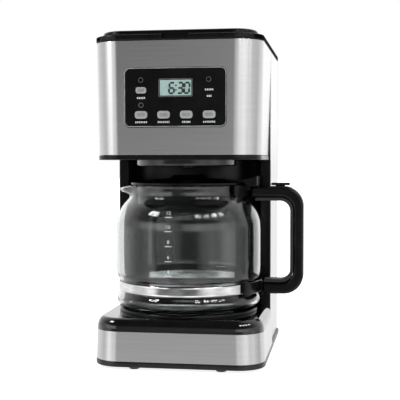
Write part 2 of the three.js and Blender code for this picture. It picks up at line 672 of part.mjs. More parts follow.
// The clamp that hooks the handle over the glass rim, with the two cheeks and back wall of the lid's hinge.
function neckClamp() {
  const { half, top } = HANDLE;
  const low = top + GAP;
  const profile = new THREE.Shape();
  profile.moveTo(67.6, low);
  profile.lineTo(79.5, low);
  profile.lineTo(79.5, 206);
  profile.lineTo(65.2, 202.4);
  profile.lineTo(65.2, 196.4);
  profile.lineTo(67.6, 196.4);
  const cheeks = solid(slabXZ(profile, -CLAMP_HALF, CLAMP_HALF));
  const slot = box(60, 76.9, -13.4, 13.4, low - 2, 210);
  const lever = box(69, 76.9, -5.6, 5.6, low - 2, 210);
  const band = ringSector(67.2, 70.4, 0.62, 184.4, low + 1);
  const bore = bar(1.8, -18.9, 18.9, "y", JUG_LID_AXIS, 12);
  const leftTie = box(67.6, 72, half + 0.6, CLAMP_HALF, 190, low + 1);
  const rightTie = box(67.6, 72, -CLAMP_HALF, -half - 0.6, 190, low + 1);
  const clear = box(70.7, 90, -half - GAP, half + GAP, 170, low);
  const hook = cut(join(band, leftTie, rightTie), clear);
  return cut(join(cut(cheeks, slot, lever), hook), bore, ringCore());
}

// The room taken by the neck of the glass, which the clamp keeps clear of.
function ringCore() {
  return post(67, 150, 195.9, 0, 0, 48);
}

// The outline of the handle between its outer face (depth 0) and a line further in.
function handleOutline(depth, inward, startTop, startLow) {
  const { top, reach, low } = HANDLE;
  const shape = new THREE.Shape();
  const outerBend = 22 - depth;
  shape.moveTo(startTop, top - depth);
  shape.absarc(reach - 22, top - 22, outerBend, Math.PI / 2, 0, true);
  shape.absarc(reach - 22, low + 22, outerBend, 0, -Math.PI / 2, true);
  shape.lineTo(startLow, low + depth);
  const armTop = top - inward.top;
  const armLow = low + inward.low;
  const grip = reach - inward.grip;
  const bend = inward.bend;
  shape.lineTo(startLow, armLow);
  shape.absarc(grip + 1 - bend, armLow + bend, bend, -Math.PI / 2, 0, false);
  shape.absarc(grip - bend, armTop - bend, bend, 0, Math.PI / 2, false);
  shape.lineTo(startTop, armTop);
  return shape;
}

// A handle moulding: its outline in x and z, thick along y, with rounded edges.
function handleMoulding(outline, half, round) {
  const options = {
    depth: 2 * (half - round), bevelThickness: round, bevelSize: round, bevelOffset: -round, bevelSegments: 1,
    curveSegments: 6,
  };
  const geometry = new THREE.ExtrudeGeometry(outline, options);
  return solid(geometry.rotateX(Math.PI / 2).translate(0, half - round, 0));
}

function handleShell() {
  const { half, top, line, low } = HANDLE;
  const { top: topArm, low: lowArm, grip } = HANDLE_ARM;
  const inward = { top: topArm - line, low: lowArm - line, grip: grip - line, bend: 15 };
  const body = handleMoulding(handleOutline(0, inward, 71.2, 84.4), half, 2.6);
  const channel = box(60, 117, -7.4, 7.4, top - 9.9, top + 10);
  const socket = box(80, 93.4, -7.4, 7.4, low + 3.6, low + 9.8);
  const screwHole = post(1.9, low - 5, low + 5, HANDLE_SCREW_X, 0, 10);
  const screwHead = post(3.6, low - 5, low + 1.8, HANDLE_SCREW_X, 0, 14);
  return cut(body, channel, socket, screwHole, screwHead);
}

// The softer strip along the inside of the grip.
function gripStrip() {
  const { top, reach, low, line, half } = HANDLE;
  const inner = { top: top - HANDLE_ARM.top, low: low + HANDLE_ARM.low, grip: reach - HANDLE_ARM.grip };
  const thick = line - GAP;
  const outer = { top: inner.top + thick, low: inner.low - thick, grip: inner.grip + thick };
  const shape = new THREE.Shape();
  const bendOut = 14.7;
  const bendIn = 11.5;
  shape.moveTo(76, outer.top);
  shape.absarc(outer.grip - bendOut, outer.top - bendOut, bendOut, Math.PI / 2, 0, true);
  shape.absarc(outer.grip + 1 - bendOut, outer.low + bendOut, bendOut, 0, -Math.PI / 2, true);
  shape.lineTo(86, outer.low);
  shape.lineTo(86, inner.low);
  shape.absarc(inner.grip + 1 - bendIn, inner.low + bendIn, bendIn, -Math.PI / 2, 0, false);
  shape.absarc(inner.grip - bendIn, inner.top - bendIn, bendIn, 0, Math.PI / 2, false);
  shape.lineTo(76, inner.top);
  return handleMoulding(shape, half - 1, 1.2);
}

// The bracket between the steel band and the handle's lower arm.
function bandBracket() {
  const { low } = HANDLE;
  const clip = ringSector(79.9, 83.4, 0.6, 77, 90);
  const lug = box(82, 92.8, -7, 7, low + 4, low + 9.4);
  return cut(join(clip, lug), post(1.8, low, low + 20, HANDLE_SCREW_X, 0, 10));
}

function handleScrew() {
  const { low } = HANDLE;
  const head = post(3.3, low + 0.2, low + 1.5, HANDLE_SCREW_X, 0, 12);
  return join(head, post(1.5, low + 1, low + 9, HANDLE_SCREW_X, 0, 8));
}

// The carafe's lid: a plate over the rim, a skirt that drops inside the neck, and a small dome that takes
// the drip.
function carafeLid() {
  const profile = [
    [56, 174], [58, 174], [58, 196], [65.4, 196], [65.4, 198.6], [44, 202.4], [22, 203.2], [16, 206.6],
    [5, 206.6], [5, 204.6], [15, 204.6], [20, 201.2], [56, 198.2],
  ];
  const tongue = new THREE.Shape();
  tongue.moveTo(54, 196.4);
  tongue.lineTo(76.4, 196.4);
  tongue.lineTo(76.4, 204.8);
  tongue.lineTo(54, 200);
  const disc = cut(solid(turned(profile, 30)), box(64.4, 70, -30, 30, 190, 203));
  const { x, z } = JUG_LID_AXIS;
  return cut(join(disc, solid(slabXZ(tongue, -13, 13))), bar(1.9, -30, 30, "y", { x, z }, 12));
}

// The thumb lever: it runs inside the handle's top arm and ends in a pad above it.
function thumbLever() {
  const link = box(72, 76.3, -5, 5, 188, 196.1);
  const rod = box(72, 112, -5, 5, 188, 191);
  const stem = box(99, 109, -4, 4, 190, 196);
  const pad = solid(slabXZ(pill(20.6, 2.8, 1.3), -7, 7, 3).translate(104.4, 0, 196.8));
  return join(link, rod, stem, pad);
}

function carafeParts() {
  const group = new THREE.Group();
  group.position.set(0, CARAFE_Y, 0);
  const glass = solid(drawSpout(turned(carafeProfile(), 30)));
  const band = solid(turned([[78.3, 78.3], [79.6, 78.3], [79.6, 88.2], [78.3, 88.2]], 36));
  group.add(
    part("carafe_glass", glass, GLASS),
    part("carafe_band", band, BRIGHT_STEEL),
    part("band_bracket", bandBracket(), SATIN_BLACK),
    part("neck_clamp", neckClamp(), SATIN_BLACK),
    part("handle_shell", handleShell(), SATIN_BLACK),
    part("handle_grip_strip", gripStrip(), RUBBER),
    part("handle_screw", handleScrew(), BRIGHT_STEEL),
    part("carafe_lid", carafeLid(), SATIN_BLACK),
    part("thumb_lever", thumbLever(), SATIN_BLACK),
    part("carafe_lid_pin", bar(1.5, -18.5, 18.5, "y", JUG_LID_AXIS, 12), BRIGHT_STEEL),
  );
  return group;
}

// ---- Assembly -----------------------------------------------------------------------------------

const coffeeMaker = new THREE.Group();
coffeeMaker.add(...baseParts(), ...towerParts(), ...headParts());
coffeeMaker.add(...lidParts(), ...brewParts(), carafeParts());

// The origin goes to the middle of the whole footprint, at the table.
const bounds = new THREE.Box3().setFromObject(coffeeMaker);
const middle = bounds.getCenter(new THREE.Vector3());
coffeeMaker.position.set(-middle.x, -middle.y, -bounds.min.z);

export default coffeeMaker;
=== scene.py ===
# Drip coffee maker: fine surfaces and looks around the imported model.
import json
import math
import bmesh
import bpy
from mathutils import Matrix, Vector


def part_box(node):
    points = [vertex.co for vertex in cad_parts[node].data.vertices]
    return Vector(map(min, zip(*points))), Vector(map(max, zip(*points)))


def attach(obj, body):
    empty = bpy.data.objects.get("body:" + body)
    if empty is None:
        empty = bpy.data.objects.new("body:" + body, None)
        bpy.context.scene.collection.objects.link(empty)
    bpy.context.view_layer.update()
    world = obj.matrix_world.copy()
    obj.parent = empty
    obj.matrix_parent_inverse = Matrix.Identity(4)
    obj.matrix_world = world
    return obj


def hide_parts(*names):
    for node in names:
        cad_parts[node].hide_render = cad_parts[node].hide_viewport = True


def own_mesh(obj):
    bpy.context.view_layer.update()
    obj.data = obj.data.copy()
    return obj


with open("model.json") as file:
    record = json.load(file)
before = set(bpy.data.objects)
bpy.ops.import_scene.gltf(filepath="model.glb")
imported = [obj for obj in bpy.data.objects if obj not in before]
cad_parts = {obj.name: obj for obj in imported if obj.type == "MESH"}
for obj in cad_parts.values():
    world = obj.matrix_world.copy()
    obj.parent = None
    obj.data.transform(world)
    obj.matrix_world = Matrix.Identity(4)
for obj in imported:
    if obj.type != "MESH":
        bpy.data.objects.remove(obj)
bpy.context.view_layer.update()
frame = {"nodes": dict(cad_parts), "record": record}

# ---- Sizes, in millimetres: x = 0 is the middle of the body, y = 0 its front face, z = 0 the table

MM = 0.001
GAP = 0.3  # clearance between pieces that lie against each other
SHEET = 1.2  # thickness of the steel
WALL = 2.4  # thickness of the mouldings
HALF_WIDTH = 90.2
BACK = 236.0
SEAM = 124.2  # where the steel round the front ends
SIDE_FRONT = SEAM + 0.4  # where the steel side panels start
FRONT_RADIUS = 29.0
REAR_RADIUS = 8.0
PAN_BOTTOM = 3.4
PAN_TOP = 9.0
BASE_HALF = 91.0
BASE_FLARE = 1.013  # how much wider the steel band is at its lower edge
BAND_TOP = 41.2
DECK = 55.0  # top of the base
BAY_TOP = 223.5  # underside of the head
HEAD_TRIM_TOP = 228.4
HEAD_TOP = 348.2
HEAD_TAPER = 0.973  # how much narrower the head is at its lower edge
RIM_TOP = 354.6
LID_TOP = 360.0
CARAFE_Y = 86.0
BASKET_Y = 72.0
WELL_RADIUS = 72.0
THROAT_RADIUS = 54.0
MOUTH_RADIUS = 52.0
RECESS_RADIUS = 87.0
TAIL_RADIUS = RECESS_RADIUS - 0.4  # the round tails of the base's cover and the head's floor
PILLAR_FRONT = 122.8
VENTS, VENT_PITCH, VENT_LOW, VENT_HEIGHT, VENT_HALF = 5, 9, 272, 3, 32
GLAND_X, GLAND_Z, GLAND_RADIUS = -55, 26, 7
PANEL_HALF = 54.1
PANEL_LOW = 257.9
PANEL_HIGH = 319.7
PANEL_MIDDLE = (PANEL_LOW + PANEL_HIGH) / 2
PANEL_HEIGHT = PANEL_HIGH - PANEL_LOW
PANEL_RADIUS = 6.5
PRINT_FRONT, PRINT_BACK = -0.76, -0.66  # the panel's print stands a hair proud of its face
DIGIT_FRONT, DIGIT_BACK = -0.46, -0.38
LCD_X, LCD_Z, LCD_HALF, LCD_HALF_HEIGHT = 0.6, 298.6, 16.7, 8.2
BUTTON_WIDTH, BUTTON_HEIGHT, BUTTON_PROUD = 13.2, 8.0, 2.0
BUTTONS = {  # middle, and size as a share of the full one
    "set": (-36, 270.6, 1),
    "hour": (-12, 270.6, 1),
    "minute": (12, 270.6, 1),
    "power": (36, 270.6, 1),
    "select": (-36, 296.2, 0.84),
}
LID_AXIS_Y, LID_AXIS_Z = 219.0, 357.4
JUG_AXIS_X, JUG_AXIS_Z = 72.5, 199.5
BORE_RADIUS = 1.7  # the holes of both hinges
EARS, EAR_WIDTH, EAR_RADIUS = (-68, -55.6, 52, 64.4), 3.6, 2.6
ARMS, ARM_WIDTH, ARM_HALF = (-64, 56), 8, 2.3
SPRAY_HOLES, SPRAY_RING, SPRAY_HOLE_RADIUS = 6, 13, 1.6
HANDLE_HALF, HANDLE_TOP, HANDLE_REACH, HANDLE_LOW = 11.0, 194.2, 130.0, 74.4
HANDLE_LINE = 3.9  # thickness of the strip inside the grip
MARK_X, MARK_WIDTH = -8.5, 7.5  # the carafe's scale
FINE = 96  # sides of a turned piece
JUG_SIDES = 128
ARC = 16  # steps in a quarter turn of an outline

plate_low, plate_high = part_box("hot_plate")
SHIFT_X = (plate_low[0] + plate_high[0]) / 2
SHIFT_Y = (plate_low[1] + plate_high[1]) / 2 - CARAFE_Y * MM


def at(x, y, z):
    """A place in millimetres on the body, as a vector in the frame."""
    return Vector((x * MM + SHIFT_X, y * MM + SHIFT_Y, z * MM))


# ---- Materials -----------------------------------------------------------------------------------


def new_material(name):
    """A material with its nodes, its links and its main shader."""
    material = bpy.data.materials.new(name)
    material.use_nodes = True
    nodes, links = material.node_tree.nodes, material.node_tree.links
    shader = nodes["Principled BSDF"]
    return material, nodes, links, shader


def grain(nodes, links, scale, detail=3.0):
    """A noise over the object's own coordinates, stretched by scale, which is three numbers per metre."""
    place = nodes.new("ShaderNodeTexCoord")
    stretch = nodes.new("ShaderNodeMapping")
    stretch.inputs["Scale"].default_value = scale
    noise = nodes.new("ShaderNodeTexNoise")
    noise.inputs["Scale"].default_value = 1.0
    noise.inputs["Detail"].default_value = detail
    links.new(place.outputs["Object"], stretch.inputs["Vector"])
    links.new(stretch.outputs["Vector"], noise.inputs["Vector"])
    return noise


def spread(nodes, links, source, low, high, target):
    """Maps a noise onto a range and feeds it to a socket."""
    ramp = nodes.new("ShaderNodeMapRange")
    ramp.inputs["From Min"].default_value = 0.3
    ramp.inputs["From Max"].default_value = 0.7
    ramp.inputs["To Min"].default_value = low
    ramp.inputs["To Max"].default_value = high
    links.new(source.outputs["Fac"], ramp.inputs["Value"])
    links.new(ramp.outputs["Result"], target)


def tint(nodes, links, source, dark, light, target):
    """Maps a noise onto a blend of two colours and feeds it to a socket."""
    ramp = nodes.new("ShaderNodeValToRGB")
    ramp.color_ramp.elements[0].position = 0.35
    ramp.color_ramp.elements[0].color = (*dark, 1)
    ramp.color_ramp.elements[1].position = 0.65
    ramp.color_ramp.elements[1].color = (*light, 1)
    links.new(source.outputs["Fac"], ramp.inputs["Fac"])
    links.new(ramp.outputs["Color"], target)


def relief(nodes, links, source, strength, depth, shader):
    """Turns a noise into small bumps."""
    bump = nodes.new("ShaderNodeBump")
    bump.inputs["Strength"].default_value = strength
    bump.inputs["Distance"].default_value = depth
    links.new(source.outputs["Fac"], bump.inputs["Height"])
    links.new(bump.outputs["Normal"], shader.inputs["Normal"])


def plastic(name, dark, light, rough, pebble=0.0, pebble_size=0.0008, coat=0.0, ior=1.5):
    """Moulded plastic: slight mottling, uneven gloss and, on satin parts, a fine moulded texture."""
    material, nodes, links, shader = new_material(name)
    broad = grain(nodes, links, (60, 60, 60))
    tint(nodes, links, broad, dark, light, shader.inputs["Base Color"])
    spread(nodes, links, broad, rough * 0.88, rough * 1.12, shader.inputs["Roughness"])
    shader.inputs["IOR"].default_value = ior
    shader.inputs["Coat Weight"].default_value = coat
    shader.inputs["Coat Roughness"].default_value = 0.03
    fine = grain(nodes, links, (1 / pebble_size,) * 3, 2.0)
    relief(nodes, links, fine, max(pebble, 0.01), 0.00005, shader)
    return material


def brushed_metal(name, dark, light, rough, lines):
    """Sheet steel with fine straight brush lines; lines is how fast the grain changes along x, y and z."""
    material, nodes, links, shader = new_material(name)
    strokes = grain(nodes, links, lines, 6.0)
    shader.inputs["Metallic"].default_value = 1.0
    tint(nodes, links, strokes, dark, light, shader.inputs["Base Color"])
    spread(nodes, links, strokes, rough * 0.96, rough * 1.04, shader.inputs["Roughness"])
    relief(nodes, links, strokes, 0.012, 0.00002, shader)
    shader.inputs["Anisotropic"].default_value = 0.9
    shader.inputs["Anisotropic Rotation"].default_value = 0.25
    around = nodes.new("ShaderNodeTangent")
    around.direction_type = "RADIAL"
    around.axis = "Z"
    links.new(around.outputs["Tangent"], shader.inputs["Tangent"])
    return material


def polished_metal(name, dark, light, rough):
    """Metal with a slightly cloudy polish."""
    material, nodes, links, shader = new_material(name)
    broad = grain(nodes, links, (90, 90, 400))
    shader.inputs["Metallic"].default_value = 1.0
    tint(nodes, links, broad, dark, light, shader.inputs["Base Color"])
    spread(nodes, links, broad, rough * 0.7, rough * 1.3, shader.inputs["Roughness"])
    relief(nodes, links, broad, 0.02, 0.00003, shader)
    return material


def clear_glass(name):
    """Thick blown glass, with the faint upright waviness that draws reflections out into streaks."""
    material, nodes, links, shader = new_material(name)
    shader.inputs["Base Color"].default_value = (0.87, 0.89, 0.885, 1)
    shader.inputs["Transmission Weight"].default_value = 1.0
    shader.inputs["IOR"].default_value = 1.45
    wave = grain(nodes, links, (70, 70, 5), 2.0)
    spread(nodes, links, wave, 0.0, 0.008, shader.inputs["Roughness"])
    relief(nodes, links, wave, 0.045, 0.0003, shader)
    return material


def glowing(name, dark, light, glow):
    """A lit surface: the display's window."""
    material, nodes, links, shader = new_material(name)
    broad = grain(nodes, links, (120, 120, 120))
    tint(nodes, links, broad, dark, light, shader.inputs["Base Color"])
    tint(nodes, links, broad, dark, light, shader.inputs["Emission Color"])
    spread(nodes, links, broad, 0.12, 0.2, shader.inputs["Roughness"])
    shader.inputs["Emission Strength"].default_value = glow
    return material


BLACK = (0.0016, 0.0016, 0.0018)
BLACK_LIGHT = (0.003, 0.003, 0.0033)
RUBBER_BLACK = (0.006, 0.006, 0.006)
RUBBER_LIGHT = (0.012, 0.012, 0.012)
LOOKS = {  # one for each material slot of the record
    "pan_plastic": plastic("pan_plastic", BLACK, BLACK_LIGHT, 0.3, 0.15),
    "gloss_trim": plastic("gloss_trim", BLACK, BLACK_LIGHT, 0.1, ior=1.27),
    "satin_black": plastic("satin_black", BLACK, BLACK_LIGHT, 0.2, 0.08, ior=1.3),
    "inner_plastic": plastic("inner_plastic", (0.018, 0.018, 0.019), (0.026, 0.026, 0.027), 0.5, 0.3),
    "brushed_steel": brushed_metal(
        "brushed_steel", (0.555, 0.555, 0.56), (0.605, 0.605, 0.61), 0.25, (14, 14, 2400)
    ),
    "bright_steel": polished_metal("bright_steel", (0.62, 0.62, 0.63), (0.74, 0.74, 0.75), 0.1),
    "plate_coating": plastic("plate_coating", RUBBER_BLACK, RUBBER_LIGHT, 0.34, 0.4, 0.0005),
    "heater_aluminium": polished_metal("heater_aluminium", (0.4, 0.4, 0.41), (0.5, 0.5, 0.51), 0.4),
    "rubber": plastic("rubber", RUBBER_BLACK, RUBBER_LIGHT, 0.55, 0.5),
    "silicone": plastic("silicone", (0.5, 0.48, 0.44), (0.58, 0.56, 0.52), 0.5, 0.2),
    "glass": clear_glass("glass"),
    "button_grey": plastic("button_grey", (0.225, 0.23, 0.235), (0.27, 0.275, 0.28), 0.3, 0.05),
    "lcd": glowing("lcd", (0.2, 0.285, 0.265), (0.24, 0.33, 0.31), 0.11),
    "board": plastic("board", (0.01, 0.09, 0.03), (0.015, 0.12, 0.045), 0.45, 0.3),
}
# Looks of pieces that differ from the rest of their slot. Dull black hardly reflects at all.
DECK_GLOSS = plastic("deck_gloss", BLACK, BLACK_LIGHT, 0.09, coat=0.5)
HOLDER_BLACK = plastic("holder_black", BLACK, BLACK_LIGHT, 0.16, coat=0.4)
DULL_BLACK = plastic("dull_black", BLACK, BLACK_LIGHT, 0.5, 0.2, ior=1.02)
BUTTON_CORE = plastic("button_core", (0.15, 0.155, 0.155), (0.19, 0.195, 0.195), 0.3, 0.05)
LABEL_INK = plastic("label_ink", (0.42, 0.43, 0.43), (0.52, 0.53, 0.53), 0.5, 0.05)
RING_INK = plastic("ring_ink", (0.05, 0.05, 0.052), (0.08, 0.08, 0.082), 0.5, 0.05)
DIGIT_INK = plastic("digit_ink", (0.008, 0.014, 0.014), (0.012, 0.018, 0.018), 0.4, 0.02)
EDGE_LINE = polished_metal("edge_line", (0.6, 0.6, 0.605), (0.72, 0.72, 0.725), 0.4)

# ---- Building pieces -----------------------------------------------------------------------------


def raw_object(name, vertices, faces):
    """An object from millimetre vertices and faces, with its faces turned outwards."""
    mesh = bpy.data.meshes.new(name)
    mesh.from_pydata([at(*v) for v in vertices], [], faces)
    shape = bmesh.new()
    shape.from_mesh(mesh)
    bmesh.ops.remove_doubles(shape, verts=shape.verts, dist=1e-7)
    bmesh.ops.recalc_face_normals(shape, faces=shape.faces)
    shape.to_mesh(mesh)
    shape.free()
    obj = bpy.data.objects.new(name, mesh)
    bpy.context.scene.collection.objects.link(obj)
    return obj


def loft(name, rings):
    """Rings of the same number of points, joined one to the next and closed at both ends."""
    count = len(rings[0])
    vertices = [p for ring in rings for p in ring]
    faces = [tuple(range(count)), tuple(range(len(vertices) - count, len(vertices)))]
    for k in range(len(rings) - 1):
        for i in range(count):
            j = (i + 1) % count
            faces.append((k * count + i, k * count + j, (k + 1) * count + j, (k + 1) * count + i))
    return raw_object(name, vertices, faces)


def slab(name, outline, low, high, plane="xy"):
    """An outline given thickness: upwards (xy), backwards (xz) or sideways (yz)."""
    place = {
        "xy": lambda u, v, w: (u, v, w),
        "xz": lambda u, v, w: (u, w, v),
        "yz": lambda u, v, w: (w, u, v),
    }[plane]
    return loft(name, [[place(u, v, w) for u, v in outline] for w in (low, high)])


def turned(name, profile, x, y, sides=FINE):
    """A closed profile of (radius, height) turned about a vertical axis."""
    vertices, faces, index = [], [], {}
    for i, (radius, z) in enumerate(profile):
        turns = 1 if radius == 0 else sides
        for k in range(turns):
            angle = 2 * math.pi * k / sides
            index[i, k] = len(vertices)
            vertices.append((x + radius * math.cos(angle), y + radius * math.sin(angle), z))
        if radius == 0:
            for k in range(1, sides):
                index[i, k] = index[i, 0]
    count = len(profile)
    for i in range(count):
        j = (i + 1) % count
        for k in range(sides):
            face = [index[i, k], index[i, (k + 1) % sides], index[j, (k + 1) % sides], index[j, k]]
            face = list(dict.fromkeys(face))
            if len(face) > 2:
                faces.append(tuple(face))
    return raw_object(name, vertices, faces)


def bake(obj):
    """Applies an object's modifiers to its mesh."""
    bpy.context.view_layer.update()
    made = bpy.data.meshes.new_from_object(obj.evaluated_get(bpy.context.evaluated_depsgraph_get()))
    obj.modifiers.clear()
    obj.data = made


def joined(obj, *others, operation="UNION"):
    """A boolean of an object with others, which are used up."""
    for other in others:
        step = obj.modifiers.new("with", "BOOLEAN")
        step.operation = operation
        step.solver = "EXACT"
        step.object = other
    bake(obj)
    for other in others:
        bpy.data.objects.remove(other)
    return obj


def carved(obj, *cutters):
    """Takes the cutters' shapes out of an object."""
    return joined(obj, *cutters, operation="DIFFERENCE")


def grouped(objects):
    """Puts separate solids into one object."""
    shape = bmesh.new()
    for obj in objects:
        shape.from_mesh(obj.data)
    mesh = bpy.data.meshes.new(objects[0].name)
    shape.to_mesh(mesh)
    shape.free()
    keep = objects[0]
    keep.data = mesh
    for obj in objects[1:]:
        bpy.data.objects.remove(obj)
    return keep


def rounded(obj, width, segments=3, angle=32):
    """Rounds every edge sharper than an angle."""
    step = obj.modifiers.new("round", "BEVEL")
    step.width = width * MM
    step.segments = segments
    step.limit_method = "ANGLE"
    step.angle_limit = math.radians(angle)
    step.use_clamp_overlap = True
    bake(obj)
    return obj


def piece(obj, slot, body, replaces=(), material=None):
    """Gives a finished shape its material, smooth shading and its place in the model."""
    obj.data.materials.clear()
    obj.data.materials.append(material or LOOKS[slot])
    obj.data.polygons.foreach_set("material_index", [0] * len(obj.data.polygons))
    obj.data.shade_smooth()
    obj.data.set_sharp_from_angle(angle=math.radians(40))
    even = obj.modifiers.new("even", "WEIGHTED_NORMAL")
    even.keep_sharp = True
    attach(obj, body)
    if replaces:
        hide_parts(*replaces)
    return obj


def arc(cx, cy, radius, start, end, steps=ARC):
    """Points on a circular arc, in degrees."""
    angles = [math.radians(start + (end - start) * i / steps) for i in range(steps + 1)]
    return [(cx + radius * math.cos(a), cy + radius * math.sin(a)) for a in angles]


def plan(half, front, back, front_radius, rear_radius):
    """A rectangle in plan with round corners, larger at the front."""
    fx, fy = half - front_radius, front + front_radius
    rx, ry = half - rear_radius, back - rear_radius
    return (
        arc(fx, fy, front_radius, -90, 0)
        + arc(rx, ry, rear_radius, 0, 90)
        + arc(-rx, ry, rear_radius, 90, 180)
        + arc(-fx, fy, front_radius, 180, 270)
    )


def bay_plan(half, front, front_radius, disc_radius):
    """The base's and the head's forward part in plan: round front corners and a round tail at the back."""
    edge = PILLAR_FRONT - 0.4
    rise = math.degrees(math.asin((edge - CARAFE_Y) / disc_radius))
    fx, fy = half - front_radius, front + front_radius
    return (
        arc(fx, fy, front_radius, -90, 0)
        + [(half, edge)]
        + arc(0, CARAFE_Y, disc_radius, rise, 180 - rise, 3 * ARC)
        + [(-half, edge)]
        + arc(-fx, fy, front_radius, 180, 270)
    )


def wrap_plan(half, front, end, radius, thickness):
    """A U in plan: the steel round the front and both sides."""
    cx, cy = half - radius, front + radius
    inner = radius - thickness
    return (
        [(-half, end)]
        + arc(-cx, cy, radius, 180, 270)
        + arc(cx, cy, radius, 270, 360)
        + [(half, end), (half - thickness, end)]
        + arc(cx, cy, inner, 360, 270)
        + arc(-cx, cy, inner, 270, 180)
        + [(-half + thickness, end)]
    )


def pill(width, height, radius, cx=0.0, cz=0.0):
    """A rounded rectangle."""
    x, z = width / 2 - radius, height / 2 - radius
    return (
        arc(cx + x, cz - z, radius, -90, 0)
        + arc(cx + x, cz + z, radius, 0, 90)
        + arc(cx - x, cz + z, radius, 90, 180)
        + arc(cx - x, cz - z, radius, 180, 270)
    )


def block(name, x0, x1, y0, y1, z0, z1):
    """A plain box."""
    return slab(name, [(x0, y0), (x1, y0), (x1, y1), (x0, y1)], z0, z1)


def round_post(name, radius, low, high, x, y, sides=48):
    """A round bar that stands upright."""
    return turned(name, [(0, low), (radius, low), (radius, high), (0, high)], x, y, sides)


def round_bar(name, radius, low, high, u, v, plane):
    """A round bar along y (plane xz) or x (plane yz)."""
    return slab(name, arc(u, v, radius, 0, 360, 40)[:-1], low, high, plane)


# ---- Base ----------------------------------------------------------------------------------------


def build_base():
    """The pan, the steel band, the cover, the hot plate with its ring, and the feet."""
    lip = 0.4
    outline = plan(BASE_HALF * BASE_FLARE + lip, -0.8, BACK + 0.6, FRONT_RADIUS + 1, REAR_RADIUS + 1)
    pan = slab("pan", outline, PAN_BOTTOM, PAN_TOP)
    piece(rounded(pan, 0.9), "pan_plastic", "housing", ["base_pan"])

    wrap = wrap_plan(BASE_HALF, 0, SEAM, FRONT_RADIUS, SHEET)
    low = [(x * BASE_FLARE, y, PAN_TOP + GAP) for x, y in wrap]
    high = [(x, y, BAND_TOP) for x, y in wrap]
    band = rounded(loft("base_band", [low, high]), 0.15, 2)
    piece(band, "brushed_steel", "housing", ["base_steel_band"])

    # The cover's edge rolls over from upright to flat, as a quarter of an ellipse.
    roll, height, steps = 7.4, 13.0, 12
    rings = [[(x, y, BAND_TOP + GAP) for x, y in bay_plan(BASE_HALF, 0, FRONT_RADIUS, TAIL_RADIUS)]]
    for i in range(steps + 1):
        turn = math.pi / 2 * i / steps
        inset = roll * (1 - math.cos(turn))
        outline = bay_plan(BASE_HALF - inset, inset, FRONT_RADIUS - inset, TAIL_RADIUS)
        rings.append([(x, y, DECK - height + height * math.sin(turn)) for x, y in outline])
    cover = loft("cover", rings)
    carved(cover, round_post("well", WELL_RADIUS, 30, 70, 0, CARAFE_Y, FINE))
    piece(cover, "gloss_trim", "housing", ["base_top_cover"], DECK_GLOSS)

    ring = turned("plate_trim", [
        (67, 50), (71.6, 50), (71.6, DECK + GAP), (78.3, DECK + GAP), (78.3, 57.2), (77.9, 58.1),
        (77.1, 58.6), (70.4, 58.6), (69.9, 58.2), (69.9, 56.1), (67, 56.1),
    ], 0, CARAFE_Y)
    piece(ring, "gloss_trim", "housing", ["plate_ring"])
    plate = turned("warming_plate", [
        (0, 56.4), (69.5, 56.4), (69.5, 58.2), (69.1, 58.5), (60, 58.5), (59.6, 58.3), (58, 58.3),
        (57.6, 58.5), (0, 58.5),
    ], 0, CARAFE_Y)
    piece(plate, "plate_coating", "housing", ["hot_plate"])
    for name in ("front_left", "front_right", "rear_left", "rear_right"):
        low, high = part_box("foot_" + name)
        x = ((low[0] + high[0]) / 2 - SHIFT_X) / MM
        y = ((low[1] + high[1]) / 2 - SHIFT_Y) / MM
        foot = turned("pad_" + name, [
            (0, 0.4), (2.6, 0.4), (3, 0), (4.6, 0), (5.3, 0.3), (5.6, 0.9), (5.6, 3.1), (0, 3.1),
        ], x, y, 48)
        piece(foot, "rubber", "housing", ["foot_" + name])


# ---- Tower ---------------------------------------------------------------------------------------


